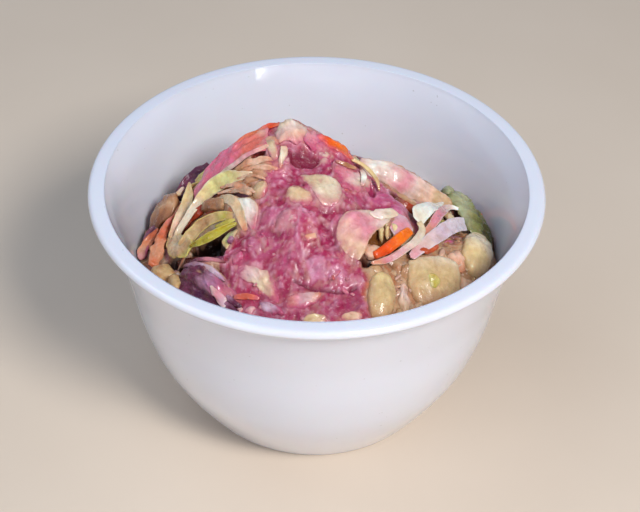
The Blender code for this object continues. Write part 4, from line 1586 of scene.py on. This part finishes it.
def loose_shreds(slaw):
    """Shreds strewn over the parts of the heap without dressing, where no other piece is laid."""
    heap, draw = slaw.heap, np.random.default_rng(23)
    shares = np.cumsum([row[1] for row in LOOSE])
    made = 0
    while made < LOOSE_COUNT:
        radius = LOOSE_RADIUS * math.sqrt(draw.random())
        azimuth = draw.uniform(0, math.tau)
        x, y = radius * math.cos(azimuth), radius * math.sin(azimuth)
        covered = max(sample(field, x, y) for field in (heap.sauce, heap.chunks, heap.hollows)) > 0.3
        if covered or math.hypot(x - LOOSE_CLEAR[0], y - LOOSE_CLEAR[1]) < LOOSE_CLEAR[2]:
            continue
        made += 1
        kind, _, (narrow, wide), thick, tones = LOOSE[int(np.searchsorted(shares, draw.random()))]
        # Behind the ridge the shreds are longer and lie looser.
        behind = ramp(y, 8.0, 16.0)
        length = draw.uniform(6, 12) * (1 - behind) + draw.uniform(8, 19) * behind
        turns = draw.uniform(0, math.tau) + draw.uniform(-1.2, 1.2) * LOOSE_STEPS
        deep = draw.uniform(-1.8, -0.6) * (1 - behind) + draw.uniform(-1.2, 0.7) * behind
        lifts = deep + draw.uniform(-0.5, 0.5, 4) - 1.2 * np.abs(LOOSE_STEPS)
        along = length * LOOSE_STEPS
        path = np.column_stack([x + along * np.cos(turns), y + along * np.sin(turns), lifts])
        width = draw.uniform(narrow, wide)
        if sample(heap.hollows, path[:, 0], path[:, 1]).max() > 0.1:
            continue
        slaw.ribbon(
            kind, path, (width * 0.5, width, width, width * 0.4), " ".join(draw.permutation(tones.split())),
            thick=thick, facing=0.0, lean=draw.uniform(-25, 25), twist=draw.uniform(-40, 40),
            cup=draw.uniform(-0.2, 0.25), ruffle=0.5, columns=7, film=0.35 * draw.random(), spacing=0.55,
        )


# The crumbs in each dressing: how many, the size of the largest, and kinds, tones and shares.
CRUMBS_IN_PINK = (70, 0.9, (
    ("pale", "blush rose", 0.75), ("purple", "mauve lavender", 0.15), ("carrot", "carrot apricot", 0.10),
))
CRUMBS_IN_TAN = (120, 1.3, (
    ("pale", "blush peach", 0.5), ("pale", "cream beige", 0.3), ("chunks", "sand dun", 0.2),
))
SMALLEST_CRUMB = 0.3


def crumbs(slaw):
    """Small crumbs of cabbage and carrot that stand out of the dressings."""
    heap, draw = slaw.heap, np.random.default_rng(31)
    for field, (count, largest, choices) in ((heap.sauce, CRUMBS_IN_PINK), (heap.chunks, CRUMBS_IN_TAN)):
        weights = [row[2] for row in choices]
        made = 0
        while made < count:
            x, y = draw.uniform(-26, 45), draw.uniform(-44, 20)
            if sample(field, x, y) < 0.6 or math.hypot(x, y) > CRUMB_RADIUS:
                continue
            made += 1
            kind, tones, _ = choices[draw.choice(len(choices), p=weights)]
            size = SMALLEST_CRUMB + (largest - SMALLEST_CRUMB) * draw.random() ** 2.5
            radii = (size * draw.uniform(0.9, 2.2), size * draw.uniform(0.6, 1.0), size * 0.5)
            sunk = float(sample(heap.core, x, y) - sample(heap.skin, x, y))
            place = (x, y, sunk + size * draw.uniform(-0.3, 0.1))
            slaw.chunk(
                kind, place, radii, tones, yaw=draw.uniform(0, 180),
                tilt=(draw.uniform(-30, 30), draw.uniform(-30, 30)), cuts=4, rough=0.9, film=0.7, rings=8,
                sectors=12,
            )


# ---------------------------------------------------------------- the bowl


# How many sides the turned bowl has, how far apart the points of its section are, and the turn in degrees
# from which a bend in the section is a sharp corner.
SEGMENTS = 240
SECTION_SPACING = 0.9
CORNER_FROM = 38.0


def refined(section):
    """The section with more points, curved between its corners and sharp at them."""
    steps = np.diff(section, axis=0)
    headings = np.degrees(np.arctan2(steps[:, 1], steps[:, 0]))
    turns = np.abs((np.diff(headings) + 180) % 360 - 180)
    flat = (np.abs(steps[:, 1]) < 0.01) & (np.abs(steps[:, 0]) > 2)
    is_corner = (turns > CORNER_FROM) | flat[:-1] | flat[1:]
    corners = [0] + [index + 1 for index in np.flatnonzero(is_corner)] + [len(section) - 1]
    made = [section[:1]]
    for start, end in zip(corners, corners[1:]):
        run = section[start : end + 1]
        length = np.linalg.norm(np.diff(run, axis=0), axis=1).sum()
        finest = 3 * (len(run) - 1) + 1
        made.append(curve(run, max(finest, int(length / SECTION_SPACING)))[1:])
    return np.vstack(made)


def build_bowl(section, surface):
    """The bowl turned finely from the CAD node's own section."""
    profile = refined(section)
    rings = profile[1:-1]
    angles = np.linspace(0, math.tau, SEGMENTS, endpoint=False)
    points = [(0.0, 0.0, profile[0][1])]
    for radius, height in rings:
        points.extend(zip(radius * np.cos(angles), radius * np.sin(angles), np.full(SEGMENTS, height)))
    points.append((0.0, 0.0, profile[-1][1]))
    last = len(points) - 1
    low = 1 + (len(rings) - 1) * SEGMENTS
    faces = []
    for segment in range(SEGMENTS):
        following = (segment + 1) % SEGMENTS
        faces.append((0, 1 + segment, 1 + following))
        faces.append((last, low + following, low + segment))
        for near in range(1, low, SEGMENTS):
            far = near + SEGMENTS
            faces.append((near + segment, far + segment, far + following, near + following))
    piece = add_piece("bowl_turned", np.array(points), faces, surface)
    piece.data.set_sharp_from_angle(angle=math.radians(CORNER_FROM))
    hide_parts("bowl")


# ---------------------------------------------------------------- materials


class Nodes:
    """A material's node tree with short calls for what the materials here share."""

    def __init__(self, name):
        self.material = bpy.data.materials.new(name)
        self.material.use_nodes = True
        self.tree = self.material.node_tree
        self.shader = self.tree.nodes["Principled BSDF"]

    def add(self, kind, **settings):
        """A new node."""
        node = self.tree.nodes.new(kind)
        for name, value in settings.items():
            setattr(node, name, value)
        return node

    def link(self, output, socket):
        """Joins an output to an input."""
        self.tree.links.new(output, socket)

    def noise(self, per_metre, detail=3.0, roughness=0.55):
        """Noise fixed to the object, with that many lumps in a metre."""
        place = self.add("ShaderNodeTexCoord")
        node = self.add("ShaderNodeTexNoise")
        node.inputs["Scale"].default_value = per_metre
        node.inputs["Detail"].default_value = detail
        node.inputs["Roughness"].default_value = roughness
        self.link(place.outputs["Object"], node.inputs["Vector"])
        return node.outputs["Fac"]

    def mapped(self, value, low, high, to_low, to_high):
        """The value moved from the range low to high into the range to_low to to_high."""
        node = self.add("ShaderNodeMapRange")
        limits = {"From Min": low, "From Max": high, "To Min": to_low, "To Max": to_high}
        for name, number in limits.items():
            node.inputs[name].default_value = number
        self.link(value, node.inputs["Value"])
        return node.outputs["Result"]

    def mixed(self, share, first, second, blend="MIX"):
        """A colour mix. first and second are sockets or colours, share a socket or a number."""
        node = self.add("ShaderNodeMix", data_type="RGBA", blend_type=blend)
        for given, socket in ((share, node.inputs[0]), (first, node.inputs[6]), (second, node.inputs[7])):
            if isinstance(given, bpy.types.NodeSocket):
                self.link(given, socket)
            else:
                socket.default_value = given
        return node.outputs[2]

    def bump(self, heights, distance_mm, strength=1.0):
        """Bumps laid one on another: heights is a list of (socket, share of the distance)."""
        before = None
        for height, share in heights:
            node = self.add("ShaderNodeBump")
            node.inputs["Strength"].default_value = strength
            node.inputs["Distance"].default_value = distance_mm * MM * share
            self.link(height, node.inputs["Height"])
            if before is not None:
                self.link(before, node.inputs["Normal"])
            before = node.outputs["Normal"]
        self.link(before, self.shader.inputs["Normal"])

    def set(self, **values):
        """Sets the shader's own sockets, such as coat_weight=0.5."""
        for name, value in values.items():
            self.shader.inputs[name.replace("_", " ").title().replace("Ior", "IOR")].default_value = value


def wet_food(name, subsurface, roughness, coat, bump_mm, grain_per_metre):
    """Wet, slightly see-through food with its colour in the mesh's tint, and pale specks painted in as
    glints.
    """
    nodes = Nodes(name)
    tint = nodes.add("ShaderNodeAttribute", attribute_name="tint").outputs["Color"]
    blotch = nodes.noise(420, 4)
    specks = nodes.noise(grain_per_metre, 3)
    lighter = nodes.mapped(blotch, 0.3, 0.7, 0.90, 1.10)
    scaled = nodes.add("ShaderNodeVectorMath", operation="SCALE")
    nodes.link(tint, scaled.inputs[0])
    nodes.link(lighter, scaled.inputs["Scale"])
    # Pale specks mixed into the colour, as painted glints on the wet surface.
    painted_glints = nodes.mapped(specks, 0.60, 0.74, 0.0, 0.22)
    colour = nodes.mixed(painted_glints, scaled.outputs["Vector"], (0.80, 0.62, 0.60, 1))
    nodes.link(colour, nodes.shader.inputs["Base Color"])
    wet = nodes.mapped(nodes.noise(650, 3), 0.35, 0.65, roughness - 0.10, roughness + 0.12)
    nodes.link(wet, nodes.shader.inputs["Roughness"])
    grey = nodes.add("ShaderNodeRGBToBW")
    nodes.link(tint, grey.inputs["Color"])
    nodes.link(nodes.mapped(grey.outputs["Val"], 0.01, 0.12, 0.0, coat), nodes.shader.inputs["Coat Weight"])
    nodes.set(subsurface_weight=subsurface, subsurface_scale=1.2 * MM)
    nodes.set(coat_roughness=0.08, coat_ior=1.4, ior=1.36)
    nodes.shader.inputs["Subsurface Radius"].default_value = (1.0, 0.45, 0.30)
    nodes.bump([(blotch, 1.0), (specks, 0.55)], bump_mm)
    return nodes.material


def bowl_material():
    """Glossy bluish-white melamine with a few fine specks and faint waves in its gloss."""
    nodes = Nodes("white_melamine")
    cloud = nodes.noise(18, 3)
    specks = nodes.noise(900, 1)
    tone = nodes.mixed(nodes.mapped(cloud, 0.3, 0.7, 0, 1), (0.68, 0.70, 0.79, 1), (0.72, 0.74, 0.82, 1))
    speck_share = nodes.mapped(specks, 0.775, 0.80, 0.0, 0.5)
    nodes.link(nodes.mixed(speck_share, tone, (0.35, 0.34, 0.36, 1)), nodes.shader.inputs["Base Color"])
    nodes.link(nodes.mapped(nodes.noise(60, 4), 0.3, 0.7, 0.10, 0.20), nodes.shader.inputs["Roughness"])
    nodes.set(subsurface_weight=0.12, subsurface_scale=2.0 * MM)
    nodes.set(coat_weight=0.5, coat_roughness=0.05, ior=1.5)
    nodes.bump([(nodes.noise(35, 2), 1.0)], 0.05)
    return nodes.material


def floor_material():
    """The plain pale floor."""
    nodes = Nodes("pale_floor")
    cloud = nodes.noise(9, 3)
    tone = nodes.mixed(nodes.mapped(cloud, 0.3, 0.7, 0, 1), (0.65, 0.54, 0.43, 1), (0.69, 0.58, 0.47, 1))
    nodes.link(tone, nodes.shader.inputs["Base Color"])
    nodes.set(roughness=0.7)
    return nodes.material


# ---------------------------------------------------------------- floor, lights and camera


# Where the camera stands and what it looks at, in degrees and millimetres.
CAMERA_ELEVATION = 39.4
CAMERA_ROLL = 1.17
CAMERA_DISTANCE = 513.0
CAMERA_TARGET = (1.1, 0.0, 40.7)
CAMERA_LENS = 112.3
SENSOR = 36.0
# The lights: name, place, width, height, watts and colour, in metres.
LIGHTS = (
    ("key", (0.27, -0.43, 0.58), 0.20, 0.20, 4.6, (1.0, 0.985, 0.97)),
    ("fill", (-0.55, -0.45, 0.50), 0.6, 0.6, 1.15, (0.84, 0.91, 1.0)),
    ("front_left_window", (-0.42, -0.95, 0.16), 0.34, 0.16, 0.5, (0.96, 0.97, 1.0)),
    ("front_right_window", (0.50, -0.95, 0.16), 0.22, 0.14, 1.2, (0.97, 0.98, 1.0)),
    ("left_sky", (-0.32, 0.12, 0.66), 0.4, 0.4, 1.0, (0.76, 0.87, 1.0)),
)
LIGHTS_AIM = (0, 0, 0.05)
FLOOR_HALF = 3.0


def add_floor():
    """A flat floor, much wider than the bowl."""
    half = FLOOR_HALF
    mesh = bpy.data.meshes.new("floor")
    corners = [(-half, -half, 0), (half, -half, 0), (half, half, 0), (-half, half, 0)]
    mesh.from_pydata(corners, [], [(0, 1, 2, 3)])
    mesh.materials.append(floor_material())
    floor = bpy.data.objects.new("floor", mesh)
    bpy.context.scene.collection.objects.link(floor)


def add_lights():
    """Rectangular lights, each turned towards the bowl."""
    for name, place, width, height, watts, colour in LIGHTS:
        data = bpy.data.lights.new(name, "AREA")
        data.shape = "RECTANGLE"
        data.size, data.size_y = width, height
        data.energy = watts
        data.color = colour
        light = bpy.data.objects.new(name, data)
        light.location = place
        light.rotation_euler = (Vector(LIGHTS_AIM) - Vector(place)).to_track_quat("-Z", "Y").to_euler()
        bpy.context.scene.collection.objects.link(light)


def set_world():
    """Soft daylight: bluish from above and neutral from the sides."""
    world = bpy.data.worlds.new("soft_daylight")
    world.use_nodes = True
    tree = world.node_tree
    place = tree.nodes.new("ShaderNodeTexCoord")
    split = tree.nodes.new("ShaderNodeSeparateXYZ")
    tones = tree.nodes.new("ShaderNodeValToRGB")
    tree.links.new(place.outputs["Generated"], split.inputs[0])
    tree.links.new(split.outputs["Z"], tones.inputs["Fac"])
    low, high = tones.color_ramp.elements
    low.position, low.color = 0.10, (0.86, 0.85, 0.90, 1)
    high.position, high.color = 0.75, (0.43, 0.54, 0.73, 1)
    background = tree.nodes["Background"]
    tree.links.new(tones.outputs["Color"], background.inputs["Color"])
    background.inputs["Strength"].default_value = 0.42
    bpy.context.scene.world = world
    view = bpy.context.scene.view_settings
    view.view_transform = "Standard"
    view.look = "None"
    view.exposure = 0.0
    view.gamma = 1.0


def add_camera():
    """The camera in front of the bowl, above it and a little rolled."""
    elevation = math.radians(CAMERA_ELEVATION)
    back = Vector((0, -math.cos(elevation), math.sin(elevation)))
    place = (Vector(CAMERA_TARGET) + back * CAMERA_DISTANCE) * MM
    level = Vector((1, 0, 0))
    upright = level.cross(-back)
    roll = math.radians(CAMERA_ROLL)
    right = math.cos(roll) * level + math.sin(roll) * upright
    up = math.cos(roll) * upright - math.sin(roll) * level
    data = bpy.data.cameras.new("camera")
    data.lens = CAMERA_LENS
    data.sensor_width = SENSOR
    data.clip_start = 0.01
    camera = bpy.data.objects.new("camera", data)
    turn = Matrix((right, up, back)).transposed().to_4x4()
    camera.matrix_world = Matrix.Translation(place) @ turn
    bpy.context.scene.collection.objects.link(camera)
    bpy.context.scene.camera = camera


# ---------------------------------------------------------------- all of it


# The kinds of piece: the name of their mesh and slot, then how see-through, rough and coated they are, the
# height of their bumps in millimetres and how many grains they have in a metre.
KINDS = {
    "pale": ("pale_cabbage", 0.35, 0.30, 0.45, 0.24, 1500),
    "green": ("green_cabbage", 0.30, 0.30, 0.45, 0.22, 1500),
    "purple": ("purple_cabbage", 0.25, 0.28, 0.50, 0.24, 1500),
    "carrot": ("carrot", 0.25, 0.32, 0.45, 0.26, 1400),
    "chunks": ("pale_chunks", 0.40, 0.32, 0.40, 0.30, 1300),
}


class Slaw:
    """The pieces on the heap: one mesh for each kind, and a call for each form of piece."""

    def __init__(self, heap):
        self.heap = heap
        self.kinds = {kind: Shape(row[0], row[0]) for kind, row in KINDS.items()}

    def ribbon(self, kind, path, widths, tones, **sizes):
        """Lays a ribbon of that kind."""
        ribbon(self.kinds[kind], self.heap, path, widths, tones, **sizes)

    def leaf(self, kind, outline, tones, grain=0.0, **sizes):
        """Lays a leaf of that kind."""
        leaf(self.kinds[kind], self.heap, outline, tones, grain=grain, **sizes)

    def chunk(self, kind, place, radii, tones, **sizes):
        """Lays a chunk of that kind."""
        chunk(self.kinds[kind], self.heap, place, radii, tones, **sizes)


def build_slaw(heap):
    """Lays every piece on the heap, then draws the dressing up round them."""
    slaw = Slaw(heap)
    for lay in (
        ridge_leaf, brown_piece, shoulder_folds, yellow_green_shred, pointed_shred, grey_band, left_gap,
        tan_shreds, whitish_piece, left_carrots, folded_purple_leaf, left_chunks, bits_by_hollow,
        front_left_rim, peak, leaves_in_dressing, curls_by_peak, pink_leaf, right_strip, sage_leaf,
        white_triangle, carrot_and_strips, right_front, far_side, loose_shreds, crumbs,
    ):
        lay(slaw)
    surfaces = {kind: wet_food(*row) for kind, row in KINDS.items()}
    heap.draw_up()
    colour_core(heap)
    for kind, shape in slaw.kinds.items():
        shape.build(surfaces[kind], heap)


def build():
    """Builds everything around the frame."""
    section = section_of(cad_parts["bowl"])
    heap = Heap(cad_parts["slaw"], section)
    shape_core(heap)
    build_bowl(section, bowl_material())
    build_slaw(heap)
    build_core(heap, wet_food("dressing", 0.30, 0.36, 0.32, 0.32, 1300))
    add_floor()
    add_lights()
    set_world()
    add_camera()


build()
